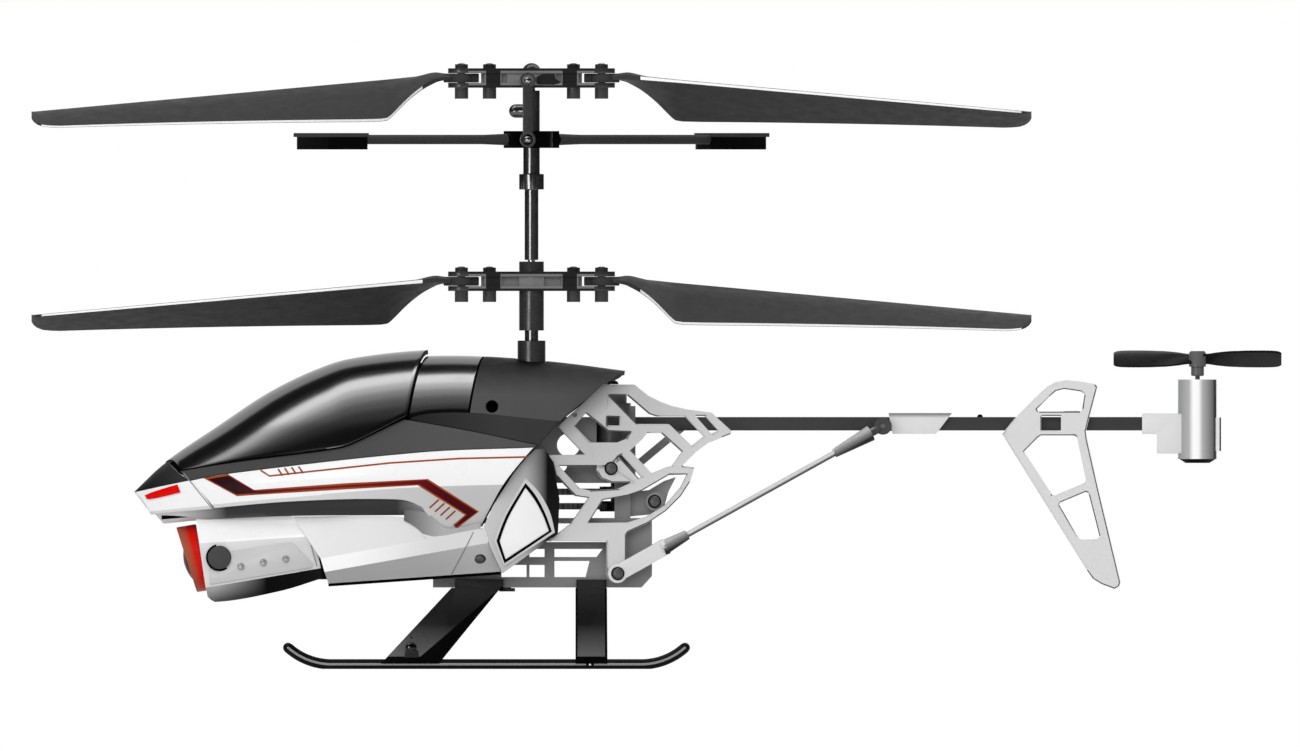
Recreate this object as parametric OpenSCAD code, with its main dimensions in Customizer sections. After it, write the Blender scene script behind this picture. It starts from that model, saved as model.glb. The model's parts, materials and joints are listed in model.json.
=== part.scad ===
// Remote control helicopter with two counter-rotating rotors, a flybar, a tail lift rotor
// and a nose camera. Nose towards -X, +Z up, left side towards -Y. All sizes in millimetres.

/* [Fuselage] */
// Half of the cabin's greatest width
body_half_width = 20; // [19.5:0.25:21]
// Wall of the moulded shells
shell_wall = 0.9; // [0.7:0.1:1]
// Roundness of the cabin's cross-section, 2 being an ellipse
section_power = 1.8; // [1.7:0.05:2]
// Stations along each shell
shell_stations = 14; // [8:1:18]
// Steps from a shell's edge to the roof line
shell_steps = 6; // [4:1:8]
// Half of the camera pod's width behind the lens
pod_half_width = 7.8; // [7.2:0.1:8.2]

/* [Rotors] */
// Mast axis from the middle of the whole length
mast_x = -25; // [-25.5:0.25:-24.5]
// Mast to blade tip
rotor_radius = 100; // [92:1:100]
// Middle height of the upper rotor head
upper_rotor_z = 118.2; // [117:0.2:119]
// Middle height of the lower rotor hub
lower_rotor_z = 77.55; // [77:0.05:78]
// Middle height of the flybar
flybar_z = 105.9; // [105:0.1:106.5]
// Flybar's tip circle radius
flybar_radius = 55.3; // [50:0.1:58]
// Angle from the upper blades to the flybar
flybar_angle = 37; // [32:1:42]
// Widest blade chord
blade_chord = 19; // [16:0.5:20]
// Blade chord near the tip
tip_chord = 12.6; // [11:0.2:14]
// Blade twist at the widest chord
root_pitch = 24; // [20:1:26]
// Blade twist at the tip
tip_pitch = 14; // [12:1:16]
// Angle by which the blades hang below level
blade_droop = 5.1; // [4.6:0.1:5.4]

/* [Drive] */
// Tooth size of gears and pinions
gear_module = 0.4; // [0.4]
// Teeth on each main gear
gear_teeth = 74; // [74]
// Teeth on each motor pinion
pinion_teeth = 12; // [12]
// Angle of each motor from the centre line, seen from the mast
motor_angle = 18; // [17.5:0.25:18.5]
// Motor can radius
motor_r = 3.5; // [3:0.1:3.5]
// Inner shaft radius
inner_shaft_r = 0.75; // [0.7:0.05:0.8]
// Running clearance of shafts in their bores
run_gap = 0.05; // [0.03:0.01:0.08]

/* [Tail] */
// Square boom's width
boom_w = 2.7; // [2.5:0.1:2.9]
// Middle height of the boom
boom_z = 49.05; // [48.8:0.05:49.3]
// Tail rotor axis from the middle of the whole length
tail_rotor_x = 108.2; // [108:0.1:108.4]
// Tail rotor radius
tail_rotor_r = 16.8; // [14:0.2:16.8]
// Tail motor barrel radius
tail_motor_r = 3.9; // [3.7:0.05:4]
// Angle by which the side frames close in towards the tail
toe_in = 10; // [9:0.5:11]

/* [Landing gear] */
// Skid tube radius
skid_r = 1.05; // [0.95:0.05:1.2]
// Skids from the centre line
skid_y = 20; // [19:0.5:21]

/* [Hidden] */
$fn = 48;
gap = 0.05;
// Half of the gap that shows between neighbouring shells
seam = 0.08;

// Colours
charcoal = "#505050";
white_plastic = "#f2f2f2";
silver_plastic = "#d0d0d0";
frame_grey = "#737373";
rotor_black = "#303030";
gloss_black = "#151515";
lamp_red = "#d81e10";

// Side-view lines of the cabin: each point is a place along X and a height
roof_line = [[-104.6, 35.3], [-98.5, 41], [-88.2, 47.9], [-76.7, 55.2], [-65.2, 60.2],
             [-57.6, 61.7], [-46, 62.6], [-34, 62.5], [-20, 61.4], [-6, 59.6]];
waist_line = [[-104.6, 34.4], [-90, 36], [-70, 38], [-25, 39.5], [-6, 39.5]];
glass_seam = [[-96, 39.5], [-84.3, 41.4], [-65.2, 43.9], [-61.4, 44.8], [-49.9, 50.2]];
hood_seam = [[-50, 50.2], [-45.2, 51.2], [-37.4, 51.3], [-19.5, 49.6], [-6, 49.6]];
shell_top = [[-96, 39.5], [-84.3, 41.4], [-65.2, 43.9], [-61.4, 44.8], [-49.9, 50.2],
             [-45.2, 51.2], [-37.4, 51.3], [-19.5, 49.6], [-6, 49.6]];
paint_line = [[-104.6, 35.3], [-95.8, 37.2], [-85.9, 39.1], [-47.3, 43.4], [-24.3, 44.4]];
band_bottom = [[-104.6, 30.5], [-101, 30.9], [-94.3, 31.5], [-72.9, 33.4], [-52, 33.8],
               [-47.5, 32.5], [-44.5, 29.2], [-42, 27.2], [-34.8, 28.4]];
chin_bottom = [[-104, 28.9], [-98.5, 29.3], [-87.4, 30.1], [-72.9, 30.7], [-46, 30.9]];
belly_top = [[-67.1, 30.5], [-51.5, 30.5], [-48.5, 29.2], [-45.5, 26.5], [-31, 28.6]];
belly_ridge = [[-67.1, 22.1], [-34.8, 28], [-31, 28.2]];
belly_bottom = [[-67.1, 16.4], [-31, 18.9]];
// Forward and rear edges of the panels, from each panel's lower edge (0) to its upper edge (1)
nose_rear_edge = [[0, -88.9], [0.47, -93.8], [0.6, -95.8], [1, -98.6]];
side_front_edge = [[0, -88.4], [1, -93.3]];
side_rear_edge = [[0, -34.9], [0.53, -30.4], [1, -24.4]];
upper_front_edge = [[0, -93.2], [1, -95.3]];
upper_rear_edge = [[0, -24.2], [1, -19.6]];
glass_front_edge = [[0, -95.3], [1, -98.3]];
glass_rear_edge = [[0, -50], [1, -46.1]];
canopy_front_edge = [[0, -49.7], [1, -45.8]];
canopy_rear_edge = [[0, -37.6], [1, -34.4]];
hood_front_edge = [[0, -37.3], [1, -34.1]];
hood_rear_edge = [[0, -19.5], [0.25, -13.9], [0.5, -9.7], [0.75, -7.3], [1, -6.3]];
// How far the front glass stands proud of the panel behind it
glass_proud_front = 0.2;
glass_proud_rear = 1.2;
// The cabin is widest from here to here, and curves in over this run to the nose
wide_from = -40;
wide_to = -30;
nose_run = 65.6;
// Slope of the cabin sides below the waist
side_tuck = 0.12;

function lerp(a, b, t) = a + (b - a) * t;
function reversed(list) = [for (i = [len(list) - 1:-1:0]) list[i]];
function piece_of(p, x, i = 0) = i >= len(p) - 2 || x < p[i + 1][0] ? i : piece_of(p, x, i + 1);
function slope_at(p, i) =
    let (a = max(0, i - 1), b = min(len(p) - 1, i + 1)) (p[b][1] - p[a][1]) / (p[b][0] - p[a][0]);
// Smooth curve through the points of p, at x
function line_at(p, x) =
    let (
        i = piece_of(p, x),
        h = p[i + 1][0] - p[i][0],
        t = (x - p[i][0]) / h
    )
    p[i][1] * (1 + 2 * t) * pow(1 - t, 2) + h * slope_at(p, i) * t * pow(1 - t, 2)
    + p[i + 1][1] * t * t * (3 - 2 * t) + h * slope_at(p, i + 1) * t * t * (t - 1);

function half_width(x) = body_half_width * (
    x < wide_from ? pow(1 - pow((wide_from - x) / nose_run, 2.2), 0.75)
    : x > wide_to ? 1 - 0.0042 * pow(x - wide_to, 1.35)
    : 1);
function waist(x) = lookup(x, waist_line);
function roof_height(x) = line_at(roof_line, x) - waist(x);
// Angle round the section, from 0 at the waist to 90 at the roof, of height z
function angle_at(x, z) =
    asin(pow(max(0, min(1, (z - waist(x)) / roof_height(x))), section_power / 2));
function section_point(x, angle, grow) =
    let (e = 2 / section_power)
    [x, (half_width(x) + grow) * pow(cos(angle), e), waist(x) + (roof_height(x) + grow) * pow(sin(angle), e)];
function side_point(x, z, grow) =
    z >= waist(x) ? section_point(x, angle_at(x, z), grow)
    : [x, half_width(x) + grow - side_tuck * (waist(x) - z), z];

// One row of a panel that crosses the roof from the right seam to the left one
function roof_row(u, front, rear, seam, grow) = [
    for (k = [-shell_steps:shell_steps])
    let (
        v = 1 - abs(k) / shell_steps,
        x = lerp(lookup(v, front), lookup(v, rear), u),
        p = section_point(x, lerp(angle_at(x, line_at(seam, x)), 90, v), grow)
    )
    [p[0], -sign(k) * p[1], p[2]]
];
// One row of a right-hand side panel between two lines
function side_row(u, front, rear, low, high, grow) = [
    for (k = [0:shell_steps])
    let (
        v = k / shell_steps,
        x = lerp(lookup(v, front), lookup(v, rear), u)
    )
    side_point(x, lerp(line_at(low, x) + seam, line_at(high, x) - seam, v), grow)
];
function wall_ring(outer, inner) = concat(outer, reversed(inner));

// Solid through closed rings of points; open rings of a wall get a strip at each end
module loft(rings, wall = false) {
    n = len(rings[0]);
    last = (len(rings) - 1) * n;
    ones = [for (p = rings[0]) 1];
    middle = [for (r = [rings[0], rings[len(rings) - 1]]) ones * r / n];
    points = concat([for (r = rings) for (p = r) p], wall ? [] : middle);
    sides = [
        for (i = [0:len(rings) - 2])
        for (j = [0:n - 1])
        let (a = i * n + j, b = i * n + (j + 1) % n)
        for (f = [[a, a + n, b + n], [a, b + n, b]]) f
    ];
    strips = [
        for (j = [0:n / 2 - 2])
        let (k = n - 1 - j)
        for (f = [[j, j + 1, k - 1], [j, k - 1, k], [last + k, last + k - 1, last + j + 1],
                  [last + k, last + j + 1, last + j]]) f
    ];
    fans = [
        for (j = [0:n - 1])
        let (b = (j + 1) % n)
        for (f = [[j, b, last + n], [last + b, last + j, last + n + 1]]) f
    ];
    polyhedron(points, concat(sides, wall ? strips : fans));
}
module left() {
    mirror([0, 1, 0]) children();
}

// Cabin shells
module roof_panel(front, rear, seam_line, proud_front = 0, proud_rear = 0) {
    loft([
        for (i = [0:shell_stations])
        let (u = i / shell_stations, proud = lerp(proud_front, proud_rear, u))
        wall_ring(roof_row(u, front, rear, seam_line, proud),
                  roof_row(u, front, rear, seam_line, proud - shell_wall))
    ], wall = true);
}
module side_panel(front, rear, low, high, proud = 0, wall = shell_wall) {
    loft([
        for (i = [0:shell_stations])
        let (u = i / shell_stations)
        wall_ring(side_row(u, front, rear, low, high, proud),
                  side_row(u, front, rear, low, high, proud - wall))
    ], wall = true);
}
module canopy_glass() {
    color(gloss_black)
        roof_panel(glass_front_edge, glass_rear_edge, glass_seam, glass_proud_front, glass_proud_rear);
}
module rear_canopy() {
    color(gloss_black) roof_panel(canopy_front_edge, canopy_rear_edge, hood_seam);
}
module rear_hood() {
    mast_hole_r = 3.1;
    side_hole = [-32.9, 52.5];
    side_hole_r = 1.26;
    color(charcoal) difference() {
        roof_panel(hood_front_edge, hood_rear_edge, hood_seam);
        translate([mast_x, 0, side_hole[1]]) cylinder(r = mast_hole_r, h = 20);
        translate([side_hole[0], 0, side_hole[1]]) rotate([90, 0, 0])
            cylinder(r = side_hole_r, h = 3 * body_half_width, center = true);
    }
}
module upper_shell_right() {
    color(charcoal) side_panel(upper_front_edge, upper_rear_edge, paint_line, shell_top);
}
module upper_shell_left() {
    left() upper_shell_right();
}
module side_shell_right() {
    color(white_plastic) side_panel(side_front_edge, side_rear_edge, band_bottom, paint_line);
}
module side_shell_left() {
    left() side_shell_right();
}

// Nose block with a lamp let into each cheek
nose_tip_edge = [[0, -101.2], [1, -104.5]];
lamp_low = [[-103, 34.1], [-101.2, 33.9], [-95, 35.3]];
lamp_high = [[-103, 34.6], [-100, 35.7], [-95, 37.4]];
lamp_front_edge = [[0, -102], [1, -102.4]];
lamp_rear_edge = [[0, -95.3], [1, -95.9]];
lamp_proud = 0.3;
lamp_depth = 1.4;
function nose_ring(u) =
    let (half = [
        for (k = [0:shell_steps])
        let (
            v = sin(90 * k / shell_steps),
            x = lerp(lookup(v, nose_tip_edge), lookup(v, nose_rear_edge), u)
        )
        side_point(x, lerp(line_at(band_bottom, x), line_at(roof_line, x), v), 0)
    ])
    concat(half, [for (k = [shell_steps - 1:-1:0]) [half[k][0], -half[k][1], half[k][2]]]);
module lamp() {
    side_panel(lamp_front_edge, lamp_rear_edge, lamp_low, lamp_high, lamp_proud, lamp_depth);
}
module nose_cap() {
    color(white_plastic) difference() {
        loft([for (i = [0:shell_stations / 2]) nose_ring(2 * i / shell_stations)]);
        lamp();
        left() lamp();
    }
}
module headlights() {
    color(lamp_red) {
        lamp();
        left() lamp();
    }
}

// Dark tray that closes the cabin from below and carries the battery
tray_front = [-98.5, -100.8];
tray_rear = -46.6;
function chin_ring(u) =
    let (
        foot = lerp(tray_front[0], tray_rear, u),
        brim = lerp(tray_front[1], tray_rear, u),
        knee = lerp(foot, brim, 0.35),
        top = line_at(band_bottom, brim) - gap,
        low = lookup(foot, chin_bottom),
        edge = half_width(brim) - 1.3
    )
    [[foot, edge - 2.8, low], [knee, edge - 1, lerp(low, top, 0.35)], [brim, edge, top],
     [brim, -edge, top], [knee, 1 - edge, lerp(low, top, 0.35)], [foot, 2.8 - edge, low]];
module chin_tray() {
    color(charcoal) loft([for (i = [0:shell_stations]) chin_ring(i / shell_stations)]);
}

// Lower body: a trough with a ridge along each side, open below where the chassis stands
belly_half_width = [[-73, 12.4], [-67.1, 13.6], [-60, 15.6], [-50, 17.4], [-40, 18.3], [-31, 18.7]];
belly_front_edge = [[0, -65.6], [0.5, -67.2], [1, -72.7]];
belly_rear_edge = [[0, -31.1], [0.6, -34.9], [1, -35.1]];
belly_top_inset = 0.9;
belly_floor_inset = 4.6;
chassis_room = [24, 12];
function belly_half(u, wall) =
    let (
        xt = lerp(lookup(1, belly_front_edge), lookup(1, belly_rear_edge), u),
        xr = lerp(lookup(0.5, belly_front_edge), lookup(0.6, belly_rear_edge), u),
        xb = lerp(lookup(0, belly_front_edge), lookup(0, belly_rear_edge), u),
        ridge = lookup(xr, belly_ridge)
    )
    [[xb, 0, lookup(xb, belly_bottom) + wall],
     [xb, lookup(xb, belly_half_width) - belly_floor_inset - wall, lookup(xb, belly_bottom) + wall],
     [xr, lookup(xr, belly_half_width) - wall, ridge],
     [xt, lookup(xt, belly_half_width) - belly_top_inset - wall, max(lookup(xt, belly_top), ridge + 0.3)]];
function belly_row(u, wall) =
    let (half = belly_half(u, wall))
    concat([for (k = [3:-1:1]) [half[k][0], -half[k][1], half[k][2]]], half);
module belly_shell() {
    room_front = -46.5;
    color(silver_plastic) difference() {
        loft([
            for (i = [0:shell_stations])
            let (u = i / shell_stations)
            wall_ring(belly_row(u, 0), belly_row(u, shell_wall))
        ], wall = true);
        translate([room_front, -chassis_room[1], 0]) cube([chassis_room[0], 2 * chassis_room[1], 24]);
    }
}

// Flat plates at the rear of the cabin and beside the gearbox close in towards the tail
flank_hinge = [-34.8, 18.9];
flank_wall = 1;
frame_hinge = [-22, 15.42];
frame_wall = 1.2;
module toed(hinge) {
    translate([hinge[0], hinge[1], 0]) rotate([0, 0, -toe_in]) rotate([90, 0, 0]) children();
}
module plate_outline(points, hinge) {
    polygon([for (p = points) [(p[0] - hinge[0]) / cos(toe_in), p[1]]]);
}
flank_outline = [[-24.2, 44], [-27.4, 40.8], [-30.1, 36.8], [-32.6, 32.8], [-34.6, 28.4], [-33.3, 24.4],
                 [-30.8, 19.1], [-19.7, 27.1], [-19.4, 34], [-20.7, 41.4], [-22.3, 44]];
trim_outline = [[-26.2, 38.2], [-23.6, 35.5], [-21.4, 31.6], [-20.3, 27.3], [-30.5, 20.6], [-32.5, 25.7]];
pane_outline = [[-26.2, 36.6], [-23.6, 33.4], [-21.4, 27.6], [-30.3, 21.6], [-31.6, 25.5]];
trim_height = 0.5;
module rear_flank_right() {
    color(silver_plastic) toed(flank_hinge) {
        linear_extrude(flank_wall) plate_outline(flank_outline, flank_hinge);
        translate([0, 0, -trim_height]) linear_extrude(2 * trim_height) difference() {
            plate_outline(trim_outline, flank_hinge);
            plate_outline(pane_outline, flank_hinge);
        }
    }
}
module rear_flank_left() {
    left() rear_flank_right();
}

// Camera pod under the nose
pod_top_gap = 0.2;
pod_bottom = [[-90.2, 14.8], [-88.2, 13.4], [-75.2, 15.6], [-66.4, 18.3]];
pod_front_edge = [[0, -89.7], [1, -92.1]];
pod_rear_edge = [[0, -66.7], [0.45, -67.7], [0.7, -69.4], [0.9, -71.2], [1, -73.4]];
pod_rear_half_width = 11.9;
pod_points = 24;
lens_centre = [-90.95, 22.35];
lens_tilt = 9.3;
button_place = [-87.4, 22.3];
button_r = 2.3;
function pod_ring(u, wall) = [
    for (k = [0:pod_points - 1])
    let (
        a = 360 * k / pod_points - 90,
        q = (1 + sign(sin(a)) * pow(abs(sin(a)), 0.75)) / 2,
        x = lerp(lookup(q, pod_front_edge), lookup(q, pod_rear_edge), u),
        low = line_at(pod_bottom, x) + wall,
        high = lookup(x, chin_bottom) - pod_top_gap - wall,
        half = lerp(pod_half_width, pod_rear_half_width, u) - wall
    )
    [x, half * sign(cos(a)) * pow(abs(cos(a)), 0.75), lerp(low, high, q)]
];
module at_lens() {
    translate([lens_centre[0], 0, lens_centre[1]]) rotate([0, -90 - lens_tilt, 0]) children();
}
module camera_pod() {
    color(white_plastic) difference() {
        loft([for (i = [0:8]) pod_ring(i / 8, 0)]);
        loft([for (u = [-0.05, 0.2, 0.45, 0.7, 0.93]) pod_ring(u, shell_wall)]);
        translate([button_place[0], -pod_half_width / 2, button_place[1]]) rotate([90, 0, 0])
            cylinder(r = button_r + run_gap, h = pod_half_width);
    }
}
bezel_r = 6.75;
bezel_bore = 5;
module camera_bezel() {
    height = 3.1;
    lean = 8.5;
    color(lamp_red) at_lens() difference() {
        translate([0, 0, gap]) cylinder(r = bezel_r, h = 2 * height);
        cylinder(r = bezel_bore, h = 5 * height, center = true);
        translate([0, 0, height]) rotate([0, -lean, 0])
            translate([-2 * bezel_r, -2 * bezel_r, 0]) cube(4 * bezel_r);
    }
}
module camera_lens() {
    dome_r = 7.5;
    dome_top = 3.7;
    color(gloss_black) at_lens() intersection() {
        translate([0, 0, dome_top - dome_r]) sphere(r = dome_r);
        translate([0, 0, gap]) cylinder(r = bezel_bore - gap, h = dome_top);
    }
}
module record_button() {
    face_y = 9;
    flange_y = 6.6;
    flange_h = 0.5;
    color(charcoal) translate([button_place[0], 0, button_place[1]]) rotate([90, 0, 0]) {
        translate([0, 0, flange_y - flange_h]) cylinder(r = button_r, h = face_y - flange_y + flange_h);
        translate([0, 0, flange_y - flange_h]) cylinder(r = button_r + 0.5, h = flange_h);
    }
}

// Chassis: a ladder tray, a deck under the gears and the gearbox frame over them
chassis_y = 10.2;
ladder_wall = 1.2;
tray_z = 16.3;
deck_z = [29.1, 30.2];
motor_plate_z = [37.2, 38.6];
bridge_z = [49, 50.4];
motor_top = 54.8;
pin_places = [[-9.1, 40.1], [-0.2, 33.5], [-8, 19.1]];
pin_r = 0.8;
shaft_distance = gear_module * (gear_teeth + pinion_teeth) / 2;
motor_place = [mast_x + shaft_distance * cos(motor_angle), shaft_distance * sin(motor_angle)];
outer_shaft_r = 1.35;
function frame_inner_y(x) =
    frame_hinge[1] - frame_wall / cos(toe_in) - tan(toe_in) * (x - frame_hinge[0]);
// A plate parallel to the centre plane, from y to y + wall, drawn in side view
module side_plate(points, y, wall) {
    translate([0, y + wall, 0]) rotate([90, 0, 0]) linear_extrude(wall) polygon(points);
}
module box(low, high) {
    translate(low) cube(high - low);
}
// A round boss or pin along Y in side view
module across(place, r, from, to) {
    translate([place[0], to, place[1]]) rotate([90, 0, 0]) cylinder(r = r, h = to - from);
}
module both_sides() {
    children();
    left() children();
}
ladder_outline = [[-44.7, tray_z], [-3, tray_z], [-0.9, 18.6], [-0.9, 29.1], [-6.1, 29.1], [-6.1, 25.4],
                  [-44.7, 25.4]];
ladder_windows = [
    [[-20.4, 24], [-10.8, 24], [-12, 22.4], [-20.4, 22.4]],
    [[-20.4, 21.6], [-13.4, 21.6], [-14.2, 18.4], [-20.4, 18.4]],
    [[-25.4, 24], [-22.4, 24], [-22.4, 22.4], [-25.4, 22.4]],
    [[-25.4, 20.8], [-22.4, 20.8], [-22.4, 18.4], [-25.4, 18.4]],
    [[-31, 20.8], [-26, 20.8], [-26, 18.4], [-31, 18.4]],
    [[-42.7, 23.8], [-38, 23.8], [-38, 18.4], [-42.7, 18.4]]
];
switch_slot = [-30.9, -27];
body_screw = [-35.3, 22.1];
body_boss_y = 13.4;
module chassis_tray() {
    floor_h = 1;
    slot_half = 0.9;
    color(frame_grey) {
        both_sides() {
            difference() {
                side_plate(ladder_outline, chassis_y - ladder_wall, ladder_wall);
                for (w = ladder_windows) side_plate(w, chassis_y - 2 * ladder_wall, 3 * ladder_wall);
            }
            difference() {
                across(pin_places[2], 2, chassis_y - ladder_wall, chassis_y + ladder_wall * 2);
                toed([frame_hinge[0], frame_hinge[1]])
                    translate([0, 0, -frame_wall]) cube([40, 40, 2 * frame_wall]);
            }
            across(body_screw, 1.9, chassis_y - ladder_wall, body_boss_y);
        }
        difference() {
            box([-44.7, -chassis_y + ladder_wall / 2, tray_z],
                [-6.1, chassis_y - ladder_wall / 2, tray_z + floor_h]);
            box([switch_slot[0], -slot_half, 0], [switch_slot[1], slot_half, 2 * tray_z]);
        }
    }
}
module power_switch() {
    knob = [-31.5, -28.3];
    color(gloss_black) {
        box([knob[0], -1.5, tray_z - 0.8], [knob[1], 1.5, tray_z - 0.1]);
        box([knob[0] + 0.8, -0.8, tray_z - 0.4], [knob[1] - 0.8, 0.8, tray_z + 1.6]);
        box([knob[0] + 0.6, -1.4, tray_z + 1.1], [knob[1] - 0.6, 1.4, tray_z + 1.6]);
    }
}
jack_place = [6, 20];
module charge_jack() {
    jack_x = [-12.5, -6.5];
    jack_half = 2.4;
    bore_r = 1.25;
    bore_depth = 5;
    color(gloss_black) difference() {
        box([jack_x[0], jack_place[0] - jack_half, tray_z + 1],
            [jack_x[1], jack_place[0] + jack_half, jack_place[1] + jack_half]);
        translate([jack_x[1] - bore_depth, jack_place[0], jack_place[1]]) rotate([0, 90, 0])
            cylinder(r = bore_r, h = 2 * bore_depth);
    }
}
module gear_deck() {
    post = [-44.7, -42.7];
    pad = [-50, -47];
    color(frame_grey) difference() {
        union() {
            box([pad[0], -chassis_y, deck_z[0]], [-0.9, chassis_y, deck_z[1]]);
            box([pad[0], -9, deck_z[1] - 0.5], [pad[1], 9, 30.8]);
            translate([mast_x, 0, deck_z[0] - 1.6]) cylinder(r = 2.2, h = 2);
            both_sides() box([post[0], 6, 25.4], [post[1], chassis_y, deck_z[0] + 0.5]);
        }
        translate([mast_x, 0, 0]) cylinder(r = inner_shaft_r + run_gap, h = 2 * deck_z[1]);
    }
}
lug_outline = [[-8.4, 30.2], [-0.2, 31], [1.6, 32.6], [2.4, 35.5], [3.9, 38.4], [1.5, 37.6], [-1.5, 35.8],
               [-8.4, 35]];
brace_outline = [[-4.6, 39.2], [-4.6, 41.2], [3.2, boom_z - boom_w / 2], [5.6, boom_z - boom_w / 2]];
module gearbox_frame() {
    socket_x = [-13.4, -4.2];
    socket_y = 1.75;
    boom_front = -11;
    wall_x = [-31, -12];
    lug_y = 8.3;
    color(frame_grey) difference() {
        union() {
            box([-44, -chassis_y, motor_plate_z[0]], [-3.9, chassis_y, motor_plate_z[1]]);
            box([wall_x[0], -chassis_y, bridge_z[0]], [-13, chassis_y, bridge_z[1]]);
            box([socket_x[0], -socket_y, motor_plate_z[0]], [socket_x[1], socket_y, 52.6]);
            translate([0, 1, 0]) side_plate(brace_outline, -2, 2);
            both_sides() {
                box([wall_x[0], chassis_y - ladder_wall, motor_plate_z[0]],
                    [wall_x[1], chassis_y, bridge_z[1]]);
                box([wall_x[1] - 1, chassis_y - ladder_wall, motor_plate_z[0]], [-6.9, chassis_y, 42.3]);
                box([-8.4, chassis_y - ladder_wall, deck_z[1]], [-5.2, chassis_y, motor_plate_z[1]]);
                box([-44, 5, deck_z[1]], [-42, chassis_y, motor_plate_z[1]]);
                side_plate(lug_outline, lug_y, 1);
                difference() {
                    union() {
                        across(pin_places[0], 2.2, chassis_y - ladder_wall, chassis_y + 3);
                        across(pin_places[1], 1.9, lug_y, chassis_y + 2);
                    }
                    toed([frame_hinge[0], frame_hinge[1]])
                        translate([0, 0, -4]) cube([40, 60, 4 + frame_wall]);
                }
            }
        }
        box([boom_front, -boom_w / 2, boom_z - boom_w / 2], [10, boom_w / 2, boom_z + boom_w / 2]);
        translate([mast_x, 0, 0]) cylinder(r = outer_shaft_r + 0.6, h = 60);
        both_sides() {
            translate([motor_place[0], motor_place[1], 0]) cylinder(r = 1.2, h = 45);
            across([-17.6, 44.8], 2.3, 5, 15);
            across([-19.4, 40.8], 1.5, 5, 15);
        }
    }
}
module mast_housing() {
    top = 65.7;
    color(charcoal) translate([mast_x, 0, 0]) difference() {
        union() {
            translate([0, 0, bridge_z[1]]) cylinder(r = 2.8, h = top - bridge_z[1]);
            translate([0, 0, bridge_z[1]]) cylinder(r = 5, h = 1.4);
        }
        cylinder(r = outer_shaft_r + run_gap, h = 2 * top);
    }
}
motor_shaft_r = 0.5;
module motors() {
    bell_h = 1.6;
    bore_h = 6;
    foot = [motor_place[0], motor_place[1], motor_plate_z[1]];
    color(gloss_black) both_sides() translate(foot) difference() {
        union() {
            cylinder(r = motor_r, h = motor_top - bell_h - motor_plate_z[1]);
            cylinder(r = motor_r - 0.8, h = motor_top - motor_plate_z[1]);
        }
        translate([0, 0, -gap]) cylinder(r = motor_shaft_r + run_gap, h = bore_h);
    }
}
battery_z = [34, 40];
module battery_pack() {
    color("#c8c8cc") box([-75, -9, battery_z[0]], [-51, 9, battery_z[1]]);
}
module circuit_board() {
    color("#1f6b3a") {
        box([-77, -10, battery_z[1]], [-48, 10, battery_z[1] + 1]);
        box([-68, -4, battery_z[1] + 0.5], [-60, 4, battery_z[1] + 2.2]);
        box([-56, -6, battery_z[1] + 0.5], [-51, -1, battery_z[1] + 2.6]);
    }
}

// Open side frames, screwed to the chassis
frame_outline = [
    [-19.7, 48.5], [-10.4, 56.9], [-4.4, 56.9], [-1.7, 54.7], [0.7, 53.5], [3.1, 52.6], [6.3, 51.9],
    [11, 51.3], [15, 47.6], [14.9, 47], [13.1, 46.3], [10.3, 45.2], [7.9, 43.4], [5.2, 40.7], [7.6, 40.3],
    [6.7, 37.4], [4.9, 34.6], [1.9, 31.6], [-1.7, 29.2], [-5.7, 27.4], [-6.1, 26.8], [-6.1, 18.9],
    [-9.9, 18.9], [-9.9, 25.5], [-21.5, 25.6], [-17, 29.1], [-13.5, 34.2], [-16.2, 34.6], [-20, 38.7],
    [-20.6, 41.4], [-22, 42.7], [-14.3, 42.9]
];
frame_windows = [
    [[-9.6, 54.8], [-5.8, 54.8], [-1.4, 51], [0.1, 50.5], [5.8, 50.5], [9.6, 46.5], [7.1, 44.6], [2.5, 49],
     [-3.9, 49]],
    [[7.8, 50.6], [9.8, 50.6], [12.4, 47.7], [11, 47]],
    [[-9.9, 48.7], [-7.3, 48.7], [-7.3, 50.4], [-9.9, 50.4]],
    [[-14.1, 51.2], [-16.4, 48.6], [-13.2, 45.3], [-7.7, 45.3], [-6.1, 46], [-5, 47.4], [-9.6, 47.6]],
    [[-1.9, 47.2], [1, 47.2], [5.2, 43.4], [3.2, 40.6], [2.2, 40.4], [-0.9, 39.1], [-5.3, 43.7], [-2.8, 46]],
    [[-7.6, 42.6], [-7, 42.9], [-2.9, 38.4], [-3.4, 38]],
    [[-19.5, 40.6], [-11.9, 40.6], [-11.9, 39.6], [-11, 38.1], [-8.9, 37.3], [-5, 37.3], [-7.7, 36],
     [-13.3, 35.7], [-15.3, 36.1]],
    [[-10.7, 33.8], [-5.7, 34.7], [-2.8, 35.7], [2.5, 38.8], [6.2, 38.9], [4.9, 36.3], [1.9, 32.8],
     [-1.9, 30.5], [-5.7, 29.3], [-13.6, 29.2]]
];
foot_r = 1.9;
module toed_disc(place, r, from, h) {
    translate([(place[0] - frame_hinge[0]) / cos(toe_in), place[1], from]) cylinder(r = r, h = h);
}
module side_frame_right() {
    color(silver_plastic) toed(frame_hinge) difference() {
        union() {
            linear_extrude(frame_wall) difference() {
                plate_outline(frame_outline, frame_hinge);
                for (w = frame_windows) plate_outline(w, frame_hinge);
            }
            toed_disc(pin_places[2], foot_r, 0, frame_wall);
        }
        for (p = [pin_places[0], pin_places[2]]) toed_disc(p, pin_r, -gap, frame_wall + 2 * gap);
    }
}
module side_frame_left() {
    left() side_frame_right();
}
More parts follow.
